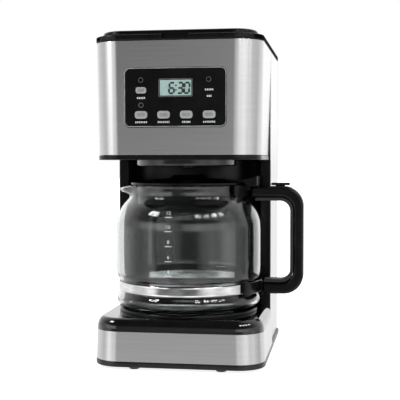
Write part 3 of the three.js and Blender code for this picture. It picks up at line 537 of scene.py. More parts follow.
def build_tower():
    """The hollowed wall behind the carafe, the steel side panels and the rear cover."""
    outer = RECESS_RADIUS + 3
    back = PILLAR_FRONT + 3
    front_angle = math.degrees(math.asin((PILLAR_FRONT - CARAFE_Y) / RECESS_RADIUS))
    back_angle = math.degrees(math.asin((back - CARAFE_Y) / outer))
    wide = HALF_WIDTH - GAP
    step, corner = 4.1, 1.1
    right = [(wide - corner, PILLAR_FRONT), (wide, PILLAR_FRONT + 1), (wide, SEAM), (wide - step, SEAM)]
    right.append((wide - step, back))
    outline = (
        arc(0, CARAFE_Y, RECESS_RADIUS, 180 - front_angle, front_angle, 5 * ARC)
        + right
        + arc(0, CARAFE_Y, outer, back_angle, 180 - back_angle, 5 * ARC)
        + [(-x, y) for x, y in reversed(right)]
    )
    front = slab("bay_wall", outline, BAND_TOP + 2 * GAP, BAY_TOP - GAP)
    piece(rounded(front, 0.5, 2, 28), "satin_black", "housing", ["tower_front"])

    for side, name in ((-1, "left"), (1, "right")):
        x = sorted((side * HALF_WIDTH, side * (HALF_WIDTH - SHEET)))
        panel = block("side_" + name, *x, SIDE_FRONT, BACK - REAR_RADIUS, PAN_TOP + GAP, HEAD_TOP)
        piece(rounded(panel, 0.4, 2), "brushed_steel", "housing", ["tower_side_" + name])

    # The rear cover is one moulding: walls behind the side panels, and the back.
    low, start = PAN_TOP + GAP, BACK - REAR_RADIUS + GAP
    skin = HALF_WIDTH - SHEET - GAP
    sides = slab("rear_cover", plan(skin, SIDE_FRONT, BACK - 4, 0.5, 4), low, HEAD_TOP)
    rear = slab("rear_wall", plan(HALF_WIDTH, start, BACK, 0.2, REAR_RADIUS - 1), low, HEAD_TOP)
    inside = slab("inside", plan(skin - WALL, 0, BACK - WALL - 1, 0.5, 5), 0, 400)
    cover = carved(joined(sides, rear), inside)
    vents = []
    for i in range(VENTS):
        z = VENT_LOW + VENT_PITCH * i
        vents.append(block("vent", -VENT_HALF, VENT_HALF, BACK - 10, BACK + 5, z, z + VENT_HEIGHT))
    carved(cover, *vents, round_bar("hole", GLAND_RADIUS, BACK - 12, BACK + 5, GLAND_X, GLAND_Z, "xz"))
    piece(rounded(cover, 0.3, 2, 50), "satin_black", "housing", ["rear_housing"])


# ---- Head ----------------------------------------------------------------------------------------


def build_head():
    """The steel round the head, its floor, the basket's holder and the rim under the lid."""
    wrap = wrap_plan(HALF_WIDTH, 0, SEAM, FRONT_RADIUS, SHEET)
    start = HEAD_TRIM_TOP + GAP
    narrow = HEAD_TAPER + (1 - HEAD_TAPER) * (start - BAY_TOP) / (HEAD_TOP - BAY_TOP)
    low = [(x * narrow, y, start) for x, y in wrap]
    high = [(x, y, HEAD_TOP) for x, y in wrap]
    steel = loft("head_steel", [low, high])
    space = 0.35
    outline = pill(
        2 * PANEL_HALF + 2 * space, PANEL_HEIGHT + 2 * space, PANEL_RADIUS + space, 0, PANEL_MIDDLE
    )
    carved(steel, slab("window", outline, -5, 12, "xz"))
    piece(rounded(steel, 0.3, 2, 50), "brushed_steel", "housing", ["head_steel_wrap"])

    half = HALF_WIDTH * HEAD_TAPER + 0.5
    outline = bay_plan(half, -0.6, FRONT_RADIUS, TAIL_RADIUS)
    under = slab("head_floor", outline, BAY_TOP, HEAD_TRIM_TOP)
    carved(under, round_post("throat", THROAT_RADIUS, 210, 240, 0, BASKET_Y, FINE))
    piece(rounded(under, 0.8, 3, 50), "satin_black", "housing", ["head_bottom"])

    holder = turned("holder", [
        (22, 217.6), (23, 217.2), (53.6, 217.0), (54.8, 217.5), (55.5, 218.6), (55.5, BAY_TOP - GAP),
        (53.6, BAY_TOP - GAP), (53.6, 318), (51.8, 318), (51.8, 219.4), (22, 219.4),
    ], 0, BASKET_Y)
    piece(holder, "gloss_trim", "housing", ["basket_holder"], HOLDER_BLACK)

    # The rim's edge bulges out, with its upper and lower edges rounded off.
    bulge, edge, steps = 1.4, 1.5, 6
    low, high = HEAD_TOP + GAP + edge, RIM_TOP - edge
    rings = []
    for middle, i in [(low, i) for i in range(steps + 1)] + [(high, i) for i in range(steps, 2 * steps + 1)]:
        turn = math.pi / 2 * (i / steps)
        out = bulge * math.sin(turn)
        z = middle - edge * math.cos(turn)
        outline = plan(HALF_WIDTH - 1 + out, 0.4 - out, BACK + out, 28 + out, 8 + out)
        rings.append([(x, y, z) for x, y in outline])
    rim = loft("rim", rings)
    carved(
        rim,
        slab("sunk", plan(HALF_WIDTH - 9, 9, 213, FRONT_RADIUS - 9, 6), 351, RIM_TOP + 5),
        slab("fill", plan(68, 181, 210, 8, 8), 340, RIM_TOP),
        slab("notch", pill(28, 9, 3, 0, RIM_TOP - 0.4), -5, 4.6, "xz"),
        round_post("mouth", MOUTH_RADIUS, 300, 380, 0, BASKET_Y, FINE),
    )
    foot = RIM_TOP - 1
    profile = arc(LID_AXIS_Y, LID_AXIS_Z, EAR_RADIUS, 0, 180, 12) + [(216.4, foot), (221.6, foot)]
    for x in EARS:
        joined(rim, slab("ear", profile, x, x + EAR_WIDTH, "yz"))
    carved(rim, round_bar("bore", BORE_RADIUS, -70, 70, LID_AXIS_Y, LID_AXIS_Z, "yz"))
    piece(rim, "gloss_trim", "housing", ["top_rim"])

    # The rim's sides are dull.
    rim.data.materials.append(DULL_BLACK)
    for face in rim.data.polygons:
        if abs(face.normal.x) > 0.7:
            face.material_index = 1


def build_panel():
    """The control panel, its display and the caps of its buttons."""

    def outline(inset, radius):
        return pill(2 * (PANEL_HALF - inset), PANEL_HEIGHT - 2 * inset, radius, 0, PANEL_MIDDLE)

    face = slab("panel", outline(0, PANEL_RADIUS), -0.7, 1.4, "xz")
    rounded(face, 0.35, 3)
    joined(face, slab("backing", outline(4.7, 3), 1, 4.6, "xz"))
    space = 0.3
    wide, tall = 2 * (LCD_HALF + space), 2 * (LCD_HALF_HEIGHT + space)
    cutters = [slab("window", pill(wide, tall, 0.8, LCD_X, LCD_Z), -5, 10, "xz")]
    space = 0.4
    for x, z, scale in BUTTONS.values():
        width, tall = BUTTON_WIDTH * scale + 2 * space, BUTTON_HEIGHT * scale + 2 * space
        cutters.append(slab("hole", pill(width, tall, tall * 0.4, x, z), -5, 10, "xz"))
    carved(face, *cutters)
    piece(face, "gloss_trim", "housing", ["control_panel"])

    edge = slab("panel_edge", outline(0.25, PANEL_RADIUS - 0.25), PRINT_FRONT, -0.5, "xz")
    hollow = slab("edge_in", outline(0.85, PANEL_RADIUS - 0.85), -2, 2, "xz")
    piece(carved(edge, hollow), "gloss_trim", "housing", material=EDGE_LINE)

    glass = pill(2 * LCD_HALF, 2 * LCD_HALF_HEIGHT, 0.8, LCD_X, LCD_Z)
    glass = slab("lcd_window", glass, -0.4, 4.2, "xz")
    piece(rounded(glass, 0.25, 2), "lcd", "housing", ["lcd_display"])

    for name, (x, z, scale) in BUTTONS.items():
        width, tall = BUTTON_WIDTH * scale, BUTTON_HEIGHT * scale
        cap = pill(width, tall, tall * 0.38, x, z)
        cap = slab("cap_" + name, cap, 0.1 - BUTTON_PROUD, 4.2, "xz")
        rounded(cap, 0.6, 3)
        joined(cap, round_bar("stem", 1.8, 3, 5.6, x, z, "xz"))
        piece(cap, "button_grey", "key_" + name, ["button_" + name])
        core = pill(width * 0.64, tall * 0.46, tall * 0.16, x, z)
        core = slab("core_" + name, core, 0.02 - BUTTON_PROUD, 0.5 - BUTTON_PROUD, "xz")
        piece(core, "button_grey", "key_" + name, material=BUTTON_CORE)


SEGMENTS = {"6": "acdefg", "3": "abcdg", "0": "abcdef"}
BAR_PLACES = {  # across, up, and whether the bar lies flat
    "a": (0.5, 1, 1), "b": (1, 0.75, 0), "c": (1, 0.25, 0), "d": (0.5, 0, 1),
    "e": (0, 0.25, 0), "f": (0, 0.75, 0), "g": (0.5, 0.5, 1),
}


def digit(name, text, x, z, width, height, stroke):
    """One seven-segment numeral on the display."""
    lean = 0.1
    bars = []
    for letter in SEGMENTS[text]:
        across, up, flat = BAR_PLACES[letter]
        cz = z + (up - 0.5) * height
        cx = x + (across - 0.5) * width + lean * (cz - z)
        long = (width if flat else height / 2) - stroke * 0.5
        size = (long, stroke) if flat else (stroke, long)
        bars.append(slab(name, pill(*size, stroke * 0.4, cx, cz), DIGIT_FRONT, DIGIT_BACK, "xz"))
    return grouped(bars)


LABEL_STEP, LABEL_HEIGHT = 1.9, 1.9
LABELS = [  # middle of each printed mark, and how many blocks it has
    (-36, 262.9, 7), (-12, 262.9, 7), (12, 262.9, 5), (36, 262.9, 7),
    (-36, 288.2, 5), (36, 296.2, 5), (36, 289.6, 3),
]
ICONS = ((-36.4, 306.8), (-36.1, 280.7), (35.5, 306.9))


def build_markings():
    """Display numerals, and plain blocks and rings where the panel is printed."""
    clock = []
    for text, x in (("6", -3.4), ("3", 5.6), ("0", 12.6)):
        clock.append(digit("digits", text, x, LCD_Z - 0.4, 5.2, 10.8, 2.05))
    for z in (LCD_Z - 2.4, LCD_Z + 2.2):
        clock.append(slab("colon", pill(1.7, 1.7, 0.6, 1.1, z), DIGIT_FRONT, DIGIT_BACK, "xz"))
    clock = grouped(clock)
    clock.name = "clock_digits"
    piece(clock, "lcd", "housing", material=DIGIT_INK)

    blocks = []
    for x, z, count in LABELS:
        start = x - (count - 1) * LABEL_STEP / 2
        for i in range(count):
            wide = LABEL_STEP - (0.65 if i % 2 else 0.95)
            outline = pill(wide, LABEL_HEIGHT, 0.3, start + i * LABEL_STEP, z)
            blocks.append(slab("labels", outline, PRINT_FRONT, PRINT_BACK, "xz"))
    piece(grouped(blocks), "button_grey", "housing", material=LABEL_INK)

    bezel = pill(2 * LCD_HALF + 2.6, 2 * LCD_HALF_HEIGHT + 2.6, 1.4, LCD_X, LCD_Z)
    inside = pill(2 * LCD_HALF + 1.2, 2 * LCD_HALF_HEIGHT + 1.2, 0.9, LCD_X, LCD_Z)
    bezel = slab("lcd_bezel", bezel, PRINT_FRONT, PRINT_BACK, "xz")
    carved(bezel, slab("in", inside, -2, 2, "xz"))
    piece(bezel, "button_grey", "housing", material=RING_INK)

    rings = []
    for x, z in ICONS:
        ring = slab("icons", pill(5.4, 5.4, 2.69, x, z), PRINT_FRONT, PRINT_BACK, "xz")
        rings.append(carved(ring, slab("in", pill(4.2, 4.2, 2.09, x, z), -2, 2, "xz")))
    piece(grouped(rings), "button_grey", "housing", material=RING_INK)


# ---- Top lid -------------------------------------------------------------------------------------


def build_lid():
    """The hinged lid, and the spray head that hangs from it over the basket."""
    # The lid's edge: how far out each ring is from the flat top's outline, and its height.
    roll, shoulder, steps = 3.4, 356.8, 8
    edge = [(2.6, 355.0), (3.2, 355.2), (roll, 355.6), (roll, shoulder)]
    for i in range(1, steps + 1):
        turn = math.pi / 2 * i / steps
        edge.append((roll * math.cos(turn), shoulder + 3.2 * math.sin(turn)))
    half, front, back, radius = HALF_WIDTH - 6.5 - roll, 6 + roll, 209 - roll, FRONT_RADIUS - 4 - roll
    rings = []
    for out, z in edge:
        outline = plan(half + out, front - out, back + out, radius + out, 6 + out)
        rings.append([(x, y, z) for x, y in outline])
    lid = loft("lid", rings)

    ceiling = LID_TOP - WALL
    outline = plan(HALF_WIDTH - 10.5, 10.5, 205, FRONT_RADIUS - 10.5, 5)
    skirt = slab("skirt", outline, 352, RIM_TOP + 2)
    outline = plan(HALF_WIDTH - 12.5, 12.5, 203, FRONT_RADIUS - 12.5, 4)
    carved(joined(lid, skirt), slab("hollow", outline, 350, ceiling))
    profile = [(200, LID_AXIS_Z + ARM_HALF), (200, LID_AXIS_Z - ARM_HALF)]
    profile += arc(LID_AXIS_Y, LID_AXIS_Z, ARM_HALF, -90, 90, 14)
    for x in ARMS:
        joined(lid, slab("arm", profile, x, x + ARM_WIDTH, "yz"))
    carved(lid, round_bar("bore", BORE_RADIUS, -70, 70, LID_AXIS_Y, LID_AXIS_Z, "yz"))
    piece(lid, "gloss_trim", "top_lid", ["top_lid"])

    top = ceiling - GAP
    spray = turned("sprinkler", [
        (0, 338), (22, 338), (23.5, 338.6), (24, 340), (24, 344), (12, 346), (9, 348), (9, top), (0, top),
    ], 0, BASKET_Y)
    holes = []
    for i in range(SPRAY_HOLES):
        angle = 2 * math.pi * i / SPRAY_HOLES
        x, y = SPRAY_RING * math.cos(angle), BASKET_Y + SPRAY_RING * math.sin(angle)
        holes.append(round_post("hole", SPRAY_HOLE_RADIUS, 330, 342, x, y, 16))
    piece(carved(spray, *holes), "inner_plastic", "top_lid", ["spray_head"])


# ---- Brewing parts -------------------------------------------------------------------------------


def build_brewing():
    """The basket, the valve that stops the drip, and its spring."""
    basket = turned("funnel", [
        (0, 223), (44, 226), (49.5, 312), (51, 316), (51, 317.4), (48.6, 317.4), (47.4, 312),
        (42.2, 228), (0, 225.4),
    ], 0, BASKET_Y)
    joined(basket, round_post("outlet", 7.6, 216.4, 225, 0, CARAFE_Y))
    spring_room = round_post("a", 5.9, 210, 223.2, 0, CARAFE_Y)
    carved(basket, spring_room, round_post("b", 3.5, 205, 240, 0, CARAFE_Y))
    piece(basket, "inner_plastic", "housing", ["brew_basket"])
    plug = turned("plug", [
        (0, 214.4), (4.6, 214.4), (5.2, 215), (5.2, 216.4), (2.6, 216.8), (2.6, 226.9), (7, 227.2),
        (7, 228.6), (0, 229.6),
    ], 0, CARAFE_Y, 48)
    piece(plug, "satin_black", "drip_valve", ["drip_stop"])

    # The valve's spring, made at one length; in the machine it is pushed shorter as the carafe lifts the
    # valve.
    turns, steps, sides, coil, wire, low, high = 3, 72, 10, 4.4, 0.45, 217.6, 222.4
    rings = []
    for i in range(steps + 1):
        angle, z = 2 * math.pi * turns * i / steps, low + (high - low) * i / steps
        section = arc(coil, z, wire, 0, 360, sides)[:-1]
        rings.append([(r * math.cos(angle), CARAFE_Y + r * math.sin(angle), level) for r, level in section])
    spring = piece(loft("valve_spring", rings), "bright_steel", "housing", ["drip_spring"])
    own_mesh(spring)


# ---- Carafe --------------------------------------------------------------------------------------


def smooth_line(points, steps=6):
    """A smooth curve through points, for the flowing part of a profile."""
    line = []
    for i in range(len(points) - 1):
        p0, p1 = points[max(i - 1, 0)], points[i]
        p2, p3 = points[i + 1], points[min(i + 2, len(points) - 1)]
        for k in range(steps):
            t = k / steps
            line.append(tuple(
                0.5 * (
                    2 * b + (c - a) * t + (2 * a - 5 * b + 4 * c - d) * t * t
                    + (3 * b - a - 3 * c + d) * t ** 3
                )
                for a, b, c, d in zip(p0, p1, p2, p3)
            ))
    return line + [points[-1]]


JUG_RADIUS, FOOT_Z = 82, 59.1
SCALE = (  # cups, height, and the glass's radius there
    ("12", 162.9, 79.9), ("10", 148, 82.0), ("8", 132.2, 82.0), ("6", 116.2, 82.0), ("4", 100.8, 82.0),
)


def build_glass():
    """The jug with its spout, the steel band round its foot, and the printed scale."""
    outside = [
        (0, 61), (64, 60.4), (69, FOOT_Z), (76, 60.2), (81, 65.6), (80.6, 71.6), (78, 77.6), (78, 88.8),
        (80.6, 93.6), (JUG_RADIUS, 104), (JUG_RADIUS, 146), (80.2, 160.6), (75, 172), (67.6, 181.6),
        (66.2, 188), (66.6, 194.4),
    ]
    inside = [
        (65.4, 195.6), (64.2, 194.4), (63.8, 188), (65.5, 180.4), (72.6, 171), (77.8, 159.6),
        (79.6, 146), (79.6, 104), (78.2, 94.6), (75.6, 89.4), (75.6, 77.2), (78.4, 70.6), (78.4, 66.4),
        (74.6, 62.9), (64, 62.9), (0, 63.4),
    ]
    profile = smooth_line(outside[1:], 4) + smooth_line(inside[:-1], 4)
    profile = [(min(r, JUG_RADIUS), max(z, FOOT_Z)) for r, z in profile]
    jug = turned("jug", [outside[0]] + profile + [inside[-1]], 0, CARAFE_Y, JUG_SIDES)

    # The spout is pulled out of the neck on the left: its width is an angle, the rest are lengths.
    spout_width, spout_reach, spout_drop, spout_low, spout_height = 0.36, 13.4, 3.6, 182, 12
    for vertex in jug.data.vertices:
        x, y = vertex.co.x - SHIFT_X, vertex.co.y - SHIFT_Y - CARAFE_Y * MM
        radius = math.hypot(x, y)
        if radius < 50 * MM:
            continue
        rise = min(max((vertex.co.z / MM - spout_low) / spout_height, 0), 1)
        share = math.exp(-((math.atan2(y, -x) / spout_width) ** 2)) * rise * rise * (3 - 2 * rise)
        grown = (radius + spout_reach * MM * share) / radius
        vertex.co.x = x * grown + SHIFT_X
        vertex.co.y = y * grown + SHIFT_Y + CARAFE_Y * MM
        vertex.co.z -= spout_drop * MM * share
    piece(jug, "glass", "carafe", ["carafe_glass"])

    band = turned("jug_band", [
        (78.3, 78.3), (79.2, 78.3), (79.5, 78.7), (79.6, 80), (79.6, 86.5), (79.5, 87.8), (79.2, 88.2),
        (78.3, 88.2),
    ], 0, CARAFE_Y, JUG_SIDES)
    piece(band, "bright_steel", "carafe", ["carafe_band"])

    marks = []
    for text, z, wall in SCALE:
        radius = wall - 0.1
        depth = CARAFE_Y - math.sqrt(radius * radius - MARK_X * MARK_X)
        dash = pill(MARK_WIDTH, 0.8, 0.3, MARK_X, z)
        marks.append(slab("fill_marks", dash, depth - 0.25, depth + 0.2, "xz"))
        marks.append(number(text, MARK_X, z + 4.4, depth))
    piece(grouped(marks), "button_grey", "carafe", material=LABEL_INK)


def number(text, x, z, depth):
    """A printed number, as flat solids."""
    letters = bpy.data.curves.new("number", "FONT")
    letters.body = text
    letters.size = 5.2 * MM
    letters.extrude = 0.1 * MM
    letters.align_x = "CENTER"
    letters.align_y = "CENTER"
    holder = bpy.data.objects.new("number", letters)
    bpy.context.scene.collection.objects.link(holder)
    bpy.context.view_layer.update()
    shaped = holder.evaluated_get(bpy.context.evaluated_depsgraph_get())
    mesh = bpy.data.meshes.new_from_object(shaped)
    bpy.data.objects.remove(holder)
    mesh.transform(Matrix.Translation(at(x, depth - 0.15, z)) @ Matrix.Rotation(math.pi / 2, 4, "X"))
    made = bpy.data.objects.new("number", mesh)
    bpy.context.scene.collection.objects.link(made)
    return made


def handle_outline(top, low, grip, bend, start_top, start_low):
    """One side of the handle's loop: along the top arm, down the grip and back along the low arm."""
    return (
        [(start_top, top)]
        + arc(grip - bend, top - bend, bend, 90, 0)
        + arc(grip - bend, low + bend, bend, 0, -90)
        + [(start_low, low)]
    )


def build_handle():
    """The grip, the strip inside its loop, and the clip on the steel band."""
    top, reach, low, line, half = HANDLE_TOP, HANDLE_REACH, HANDLE_LOW, HANDLE_LINE, HANDLE_HALF
    front, back = CARAFE_Y - half, CARAFE_Y + half
    outer = handle_outline(top, low, reach, 22, 71.2, 84.4)
    seam = handle_outline(top - 15.9 + line, low + 16.4 - line, reach - 14.6 + line, 15, 71.2, 84.4)
    shell = slab("grip_shell", outer + seam[::-1], front, back, "xz")
    rounded(shell, 3.2, 5, 50)
    channel = block("channel", 60, 117, CARAFE_Y - 7.4, CARAFE_Y + 7.4, top - 9.9, top + 10)
    socket = block("socket", 80, 93.4, CARAFE_Y - 7.4, CARAFE_Y + 7.4, low + 3.6, low + 9.8)
    carved(shell, channel, socket, round_post("sink", 3.6, low - 5, low + 1.8, 89, CARAFE_Y))
    piece(shell, "satin_black", "carafe", ["handle_shell"])

    strip_outer = handle_outline(top - 16.2 + line, low + 16.7 - line, reach - 14.9 + line, 14.7, 76, 86)
    strip_inner = handle_outline(top - 15.9, low + 16.4, reach - 14.6, 11.5, 76, 86)
    strip = slab("grip_liner", strip_outer + strip_inner[::-1], front + 1, back - 1, "xz")
    piece(rounded(strip, 1.2, 3, 50), "rubber", "carafe", ["handle_grip_strip"])

    clip = arc(0, CARAFE_Y, 83.4, -34, 34, 24) + arc(0, CARAFE_Y, 79.9, 34, -34, 24)
    bracket = slab("band_clip", clip, 77, 90)
    rounded(bracket, 0.8, 3, 50)
    lug = block("lug", 82, 92.8, CARAFE_Y - 7, CARAFE_Y + 7, low + 4, low + 9.4)
    piece(joined(bracket, lug), "satin_black", "carafe", ["band_bracket"])


def build_clamp():
    """The collar round the jug's neck, and the block that the jug's lid turns in."""
    low = HANDLE_TOP + GAP
    profile = [(67.6, low), (79.5, low), (79.5, 206), (65.2, 202.4), (65.2, 196.4), (67.6, 196.4)]
    clamp = slab("hinge_block", profile, CARAFE_Y - 20, CARAFE_Y + 20, "xz")
    rounded(clamp, 1.0, 3)
    carved(clamp, block("slot", 60, 76.9, CARAFE_Y - 13.4, CARAFE_Y + 13.4, low - 2, 210))

    reach = 35.5  # degrees that the collar goes round the neck each way
    collar = arc(0, CARAFE_Y, 70.4, -reach, reach, 24) + arc(0, CARAFE_Y, 67.2, reach, -reach, 24)
    band = slab("collar", collar, 184.4, low + 1)
    ties = []
    for y in (CARAFE_Y + 11.6, CARAFE_Y - 20):
        ties.append(block("tie", 67.6, 72, y, y + 8.4, 190, low + 1))
    joined(band, *ties)
    carved(band, block("clear", 70.7, 90, CARAFE_Y - 11.3, CARAFE_Y + 11.3, 170, low))
    joined(clamp, band)
    carved(
        clamp,
        round_bar("bore", BORE_RADIUS, CARAFE_Y - 18.9, CARAFE_Y + 18.9, JUG_AXIS_X, JUG_AXIS_Z, "xz"),
        round_post("neck", 67, 150, 195.9, 0, CARAFE_Y, FINE),
    )
    piece(clamp, "satin_black", "carafe", ["neck_clamp"])


def build_carafe_lid():
    """The jug's lid, and the lever that opens it."""
    profile = [
        (56, 174), (58, 174), (58, 196), (65, 196), (65.4, 196.4), (65.4, 198.2), (64.8, 198.8),
        (44, 202.2), (23, 203), (21.4, 203.6), (18, 206), (16, 206.6), (5, 206.6), (5, 204.6),
        (15, 204.6), (20, 201.2), (56, 198.2),
    ]
    lid = turned("jug_lid", profile, 0, CARAFE_Y)
    carved(lid, block("relief", 64.4, 70, CARAFE_Y - 30, CARAFE_Y + 30, 190, 203))
    tongue = [(54, 196.4), (76.4, 196.4), (76.4, 204.8), (54, 200)]
    joined(lid, slab("tongue", tongue, CARAFE_Y - 13, CARAFE_Y + 13, "xz"))
    bore = round_bar("bore", BORE_RADIUS, CARAFE_Y - 30, CARAFE_Y + 30, JUG_AXIS_X, JUG_AXIS_Z, "xz")
    carved(lid, bore)
    piece(lid, "satin_black", "carafe_lid", ["carafe_lid"])

    lever = block("lever", 72, 76.3, CARAFE_Y - 5, CARAFE_Y + 5, 188, 196.1)
    rod = block("rod", 72, 112, CARAFE_Y - 5, CARAFE_Y + 5, 188, 191)
    stem = block("stem", 99, 109, CARAFE_Y - 4, CARAFE_Y + 4, 190, 196)
    pad = slab("pad", pill(20.6, 2.8, 1.3, 104.4, 196.8), CARAFE_Y - 7, CARAFE_Y + 7, "xz")
    rounded(pad, 0.7, 3)
    joined(lever, rod, stem, pad)
    piece(lever, "satin_black", "carafe_lid", ["thumb_lever"])


# ---- Looks of the pieces kept from the CAD -------------------------------------------------------


def dress_cad_nodes():
    """Gives every CAD node the look of its slot."""
    slots = {row["node"]: row["material_slot"] for row in frame["record"]["subparts"]}
    for name, node in frame["nodes"].items():
        node.data.materials.clear()
        node.data.materials.append(LOOKS[slots[name]])
        node.data.polygons.foreach_set("material_index", [0] * len(node.data.polygons))


# ---- Stage, light and camera ---------------------------------------------------------------------

FLOOR_HALF, FLOOR_GLOW = 12.0, 0.85
LAMP_DISTANCE, LAMP_AIM, LAMP_POWER = 1.25, 0.15, 130  # metres, metres, watts for each square metre
LENS, SENSOR = 83.7, 36.0
CAMERA_PLACE = (175.3, -956.0, 220.2)
YAW, PITCH, ROLL = 8.862, 2.278, 0.05  # degrees

# Brightness round the room at four heights: compass angle from the front, in degrees, and brightness.
WORLD_TOP = 1.8  # the brightest there is
ROOM_LEVEL = [
    (-180, 1.25), (-130, 1.1), (-100, 0.78), (-78, 0.95), (-66, 1.75), (-27, 1.8), (-22, 0.36),
    (-16, 0.22), (-10, 0.31), (-5, 0.44), (-2, 0.6), (3, 1.2), (20, 1.75), (45, 1.6), (60, 1.25),
    (80, 0.88), (118, 0.88), (150, 1.2), (180, 1.25),
]
ROOM_NARROW = [
    (-180, 1.0), (-100, 1.15), (-84, 0.8), (-70, 0.8), (-58, 1.2), (-49, 1.1), (-40, 0.25), (-30, 0.2),
    (-8, 0.3), (4, 0.16), (20, 0.18), (34, 0.85), (46, 1.15), (60, 0.85), (76, 1.3), (92, 0.85),
    (108, 0.5), (126, 1.2), (180, 1.0),
]
ROOM_BELOW = [
    (-180, 1.0), (-100, 0.72), (-75, 0.85), (-62, 1.35), (-28, 1.6), (-21, 0.95), (-14, 0.87),
    (-2, 0.9), (6, 1.5), (45, 1.3), (60, 0.95), (110, 0.75), (150, 1.0), (180, 1.0),
]
ROOM_ABOVE = [
    (-180, 1.2), (-110, 0.9), (-80, 0.3), (-40, 0.06), (40, 0.06), (80, 0.3), (110, 0.9), (180, 1.2),
]


def build_stage():
    """A pale floor that glows a little, so that it stays as white as the backdrop."""
    mesh = bpy.data.meshes.new("floor")
    far = FLOOR_HALF
    corners = [(-far, -far, 0), (far, -far, 0), (far, far, 0), (-far, far, 0)]
    mesh.from_pydata(corners, [], [(0, 1, 2, 3)])
    floor = bpy.data.objects.new("floor", mesh)
    bpy.context.scene.collection.objects.link(floor)
    material, nodes, links, shader = new_material("floor")
    speckle = grain(nodes, links, (8, 8, 8))
    tint(nodes, links, speckle, (0.93, 0.93, 0.93), (0.95, 0.95, 0.95), shader.inputs["Base Color"])
    shader.inputs["Roughness"].default_value = 0.9
    shader.inputs["Emission Color"].default_value = (1, 1, 1, 1)
    shader.inputs["Emission Strength"].default_value = FLOOR_GLOW
    mesh.materials.append(material)

    # The floor's glow stays out of the steel and the glass, which reflect the room instead.
    floor.visible_glossy = False
    floor.visible_transmission = False


def build_world():
    """A studio made for the steel and the glass to reflect, whose backdrop is plain white to the camera.

    Bright panels stand on both sides of the front, with darker stretches between them.
    """
    world = bpy.data.worlds.new("studio")
    bpy.context.scene.world = world
    world.use_nodes = True
    nodes, links = world.node_tree.nodes, world.node_tree.links
    place = nodes.new("ShaderNodeTexCoord")
    split = nodes.new("ShaderNodeSeparateXYZ")
    links.new(place.outputs["Generated"], split.inputs["Vector"])

    def feed(node, *values):
        for i, value in enumerate(values):
            if isinstance(value, (int, float)):
                node.inputs[i].default_value = value
            else:
                links.new(value, node.inputs[i])
        return node.outputs[0]

    def calculate(operation, *values):
        node = nodes.new("ShaderNodeMath")
        node.operation = operation
        return feed(node, *values)

    def ramp(factor, stops):
        """One of the tables of brightness round the room, as a colour ramp."""
        node = nodes.new("ShaderNodeValToRGB")
        node.color_ramp.interpolation = "LINEAR"
        for _ in stops[2:]:
            node.color_ramp.elements.new(0.5)
        for element, (angle, value) in zip(node.color_ramp.elements, stops):
            element.position = angle / 360 + 0.5
            element.color = (value / WORLD_TOP,) * 3 + (1,)
        links.new(factor, node.inputs["Fac"])
        return node.outputs["Color"]

    def blend(factor, low, high):
        node = nodes.new("ShaderNodeMix")
        node.data_type = "RGBA"
        links.new(factor, node.inputs["Factor"])
        links.new(low, node.inputs["A"])
        links.new(high, node.inputs["B"])
        return node.outputs["Result"]

    def rising(low, high):
        node = nodes.new("ShaderNodeMapRange")
        node.interpolation_type = "SMOOTHSTEP"
        node.inputs["From Min"].default_value = low
        node.inputs["From Max"].default_value = high
        links.new(split.outputs["Z"], node.inputs["Value"])
        return node.outputs["Result"]

    ahead = calculate("MULTIPLY", split.outputs["Y"], -1)
    swing = calculate("ARCTAN2", split.outputs["X"], ahead)
    turn = calculate("ADD", calculate("DIVIDE", swing, 2 * math.pi), 0.5)
    room = blend(rising(-0.24, -0.19), ramp(turn, ROOM_BELOW), ramp(turn, ROOM_NARROW))
    room = blend(rising(-0.02, 0.04), room, ramp(turn, ROOM_LEVEL))
    room = blend(rising(0.2, 0.36), room, ramp(turn, ROOM_ABOVE))
    lit = nodes["Background"]
    lit.inputs["Strength"].default_value = WORLD_TOP
    links.new(room, lit.inputs["Color"])
    plain = nodes.new("ShaderNodeBackground")
    plain.inputs["Color"].default_value = (1, 1, 1, 1)
    seen = nodes.new("ShaderNodeLightPath")
    mix = nodes.new("ShaderNodeMixShader")
    links.new(seen.outputs["Is Camera Ray"], mix.inputs["Fac"])
    links.new(lit.outputs["Background"], mix.inputs[1])
    links.new(plain.outputs["Background"], mix.inputs[2])
    links.new(mix.outputs["Shader"], nodes["World Output"].inputs["Surface"])


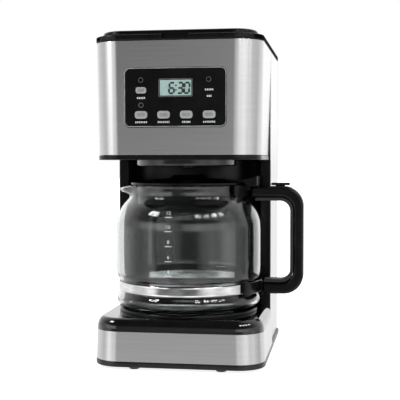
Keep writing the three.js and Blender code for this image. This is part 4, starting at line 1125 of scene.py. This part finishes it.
def lamp(name, compass, height, width, tall):
    """A small soft panel up in the room, which leaves a glint in the glass.

    Compass is its angle from the front, in degrees; the other sizes are in metres.
    """
    turn = math.radians(compass)
    place = Vector((LAMP_DISTANCE * math.sin(turn), -LAMP_DISTANCE * math.cos(turn), height))
    light = bpy.data.lights.new(name, "AREA")
    light.shape = "RECTANGLE"
    light.size = width
    light.size_y = tall
    light.energy = LAMP_POWER * width * tall
    obj = bpy.data.objects.new(name, light)
    obj.location = place
    obj.rotation_euler = (Vector((0, 0, LAMP_AIM)) - place).to_track_quat("-Z", "Y").to_euler()
    bpy.context.scene.collection.objects.link(obj)


def build_lamps():
    """Two clusters, one to each side of the front."""
    for compass in (-62, -56, -50):
        for height in (0.95, 1.08, 1.21):
            lamp("left_lamp", compass, height, 0.13, 0.045)
    for compass in (24, 39, 54, 69):
        for height in (1.02, 1.2):
            lamp("right_lamp", compass, height + 0.003 * (compass % 5), 0.2, 0.045)


def build_camera():
    """A long lens, a little above and to the right of the front."""
    yaw, pitch, roll = math.radians(YAW), math.radians(PITCH), math.radians(ROLL)
    across = math.cos(pitch)
    forward = Vector((-math.sin(yaw) * across, math.cos(yaw) * across, -math.sin(pitch)))
    level = forward.cross(Vector((0, 0, 1))).normalized()
    upright = level.cross(forward)
    right = level * math.cos(roll) - upright * math.sin(roll)
    up = upright * math.cos(roll) + level * math.sin(roll)
    data = bpy.data.cameras.new("camera")
    data.sensor_width = SENSOR
    data.lens = LENS
    camera = bpy.data.objects.new("camera", data)
    camera.matrix_world = Matrix.Translation(at(*CAMERA_PLACE)) @ Matrix((
        (right.x, up.x, -forward.x, 0),
        (right.y, up.y, -forward.y, 0),
        (right.z, up.z, -forward.z, 0),
        (0, 0, 0, 1),
    ))
    bpy.context.scene.collection.objects.link(camera)
    bpy.context.scene.camera = camera


build_camera()
dress_cad_nodes()
build_base()
build_tower()
build_head()
build_panel()
build_markings()
build_lid()
build_brewing()
build_glass()
build_handle()
build_clamp()
build_carafe_lid()
build_stage()
build_world()
build_lamps()
bpy.context.scene.view_settings.view_transform = "Standard"
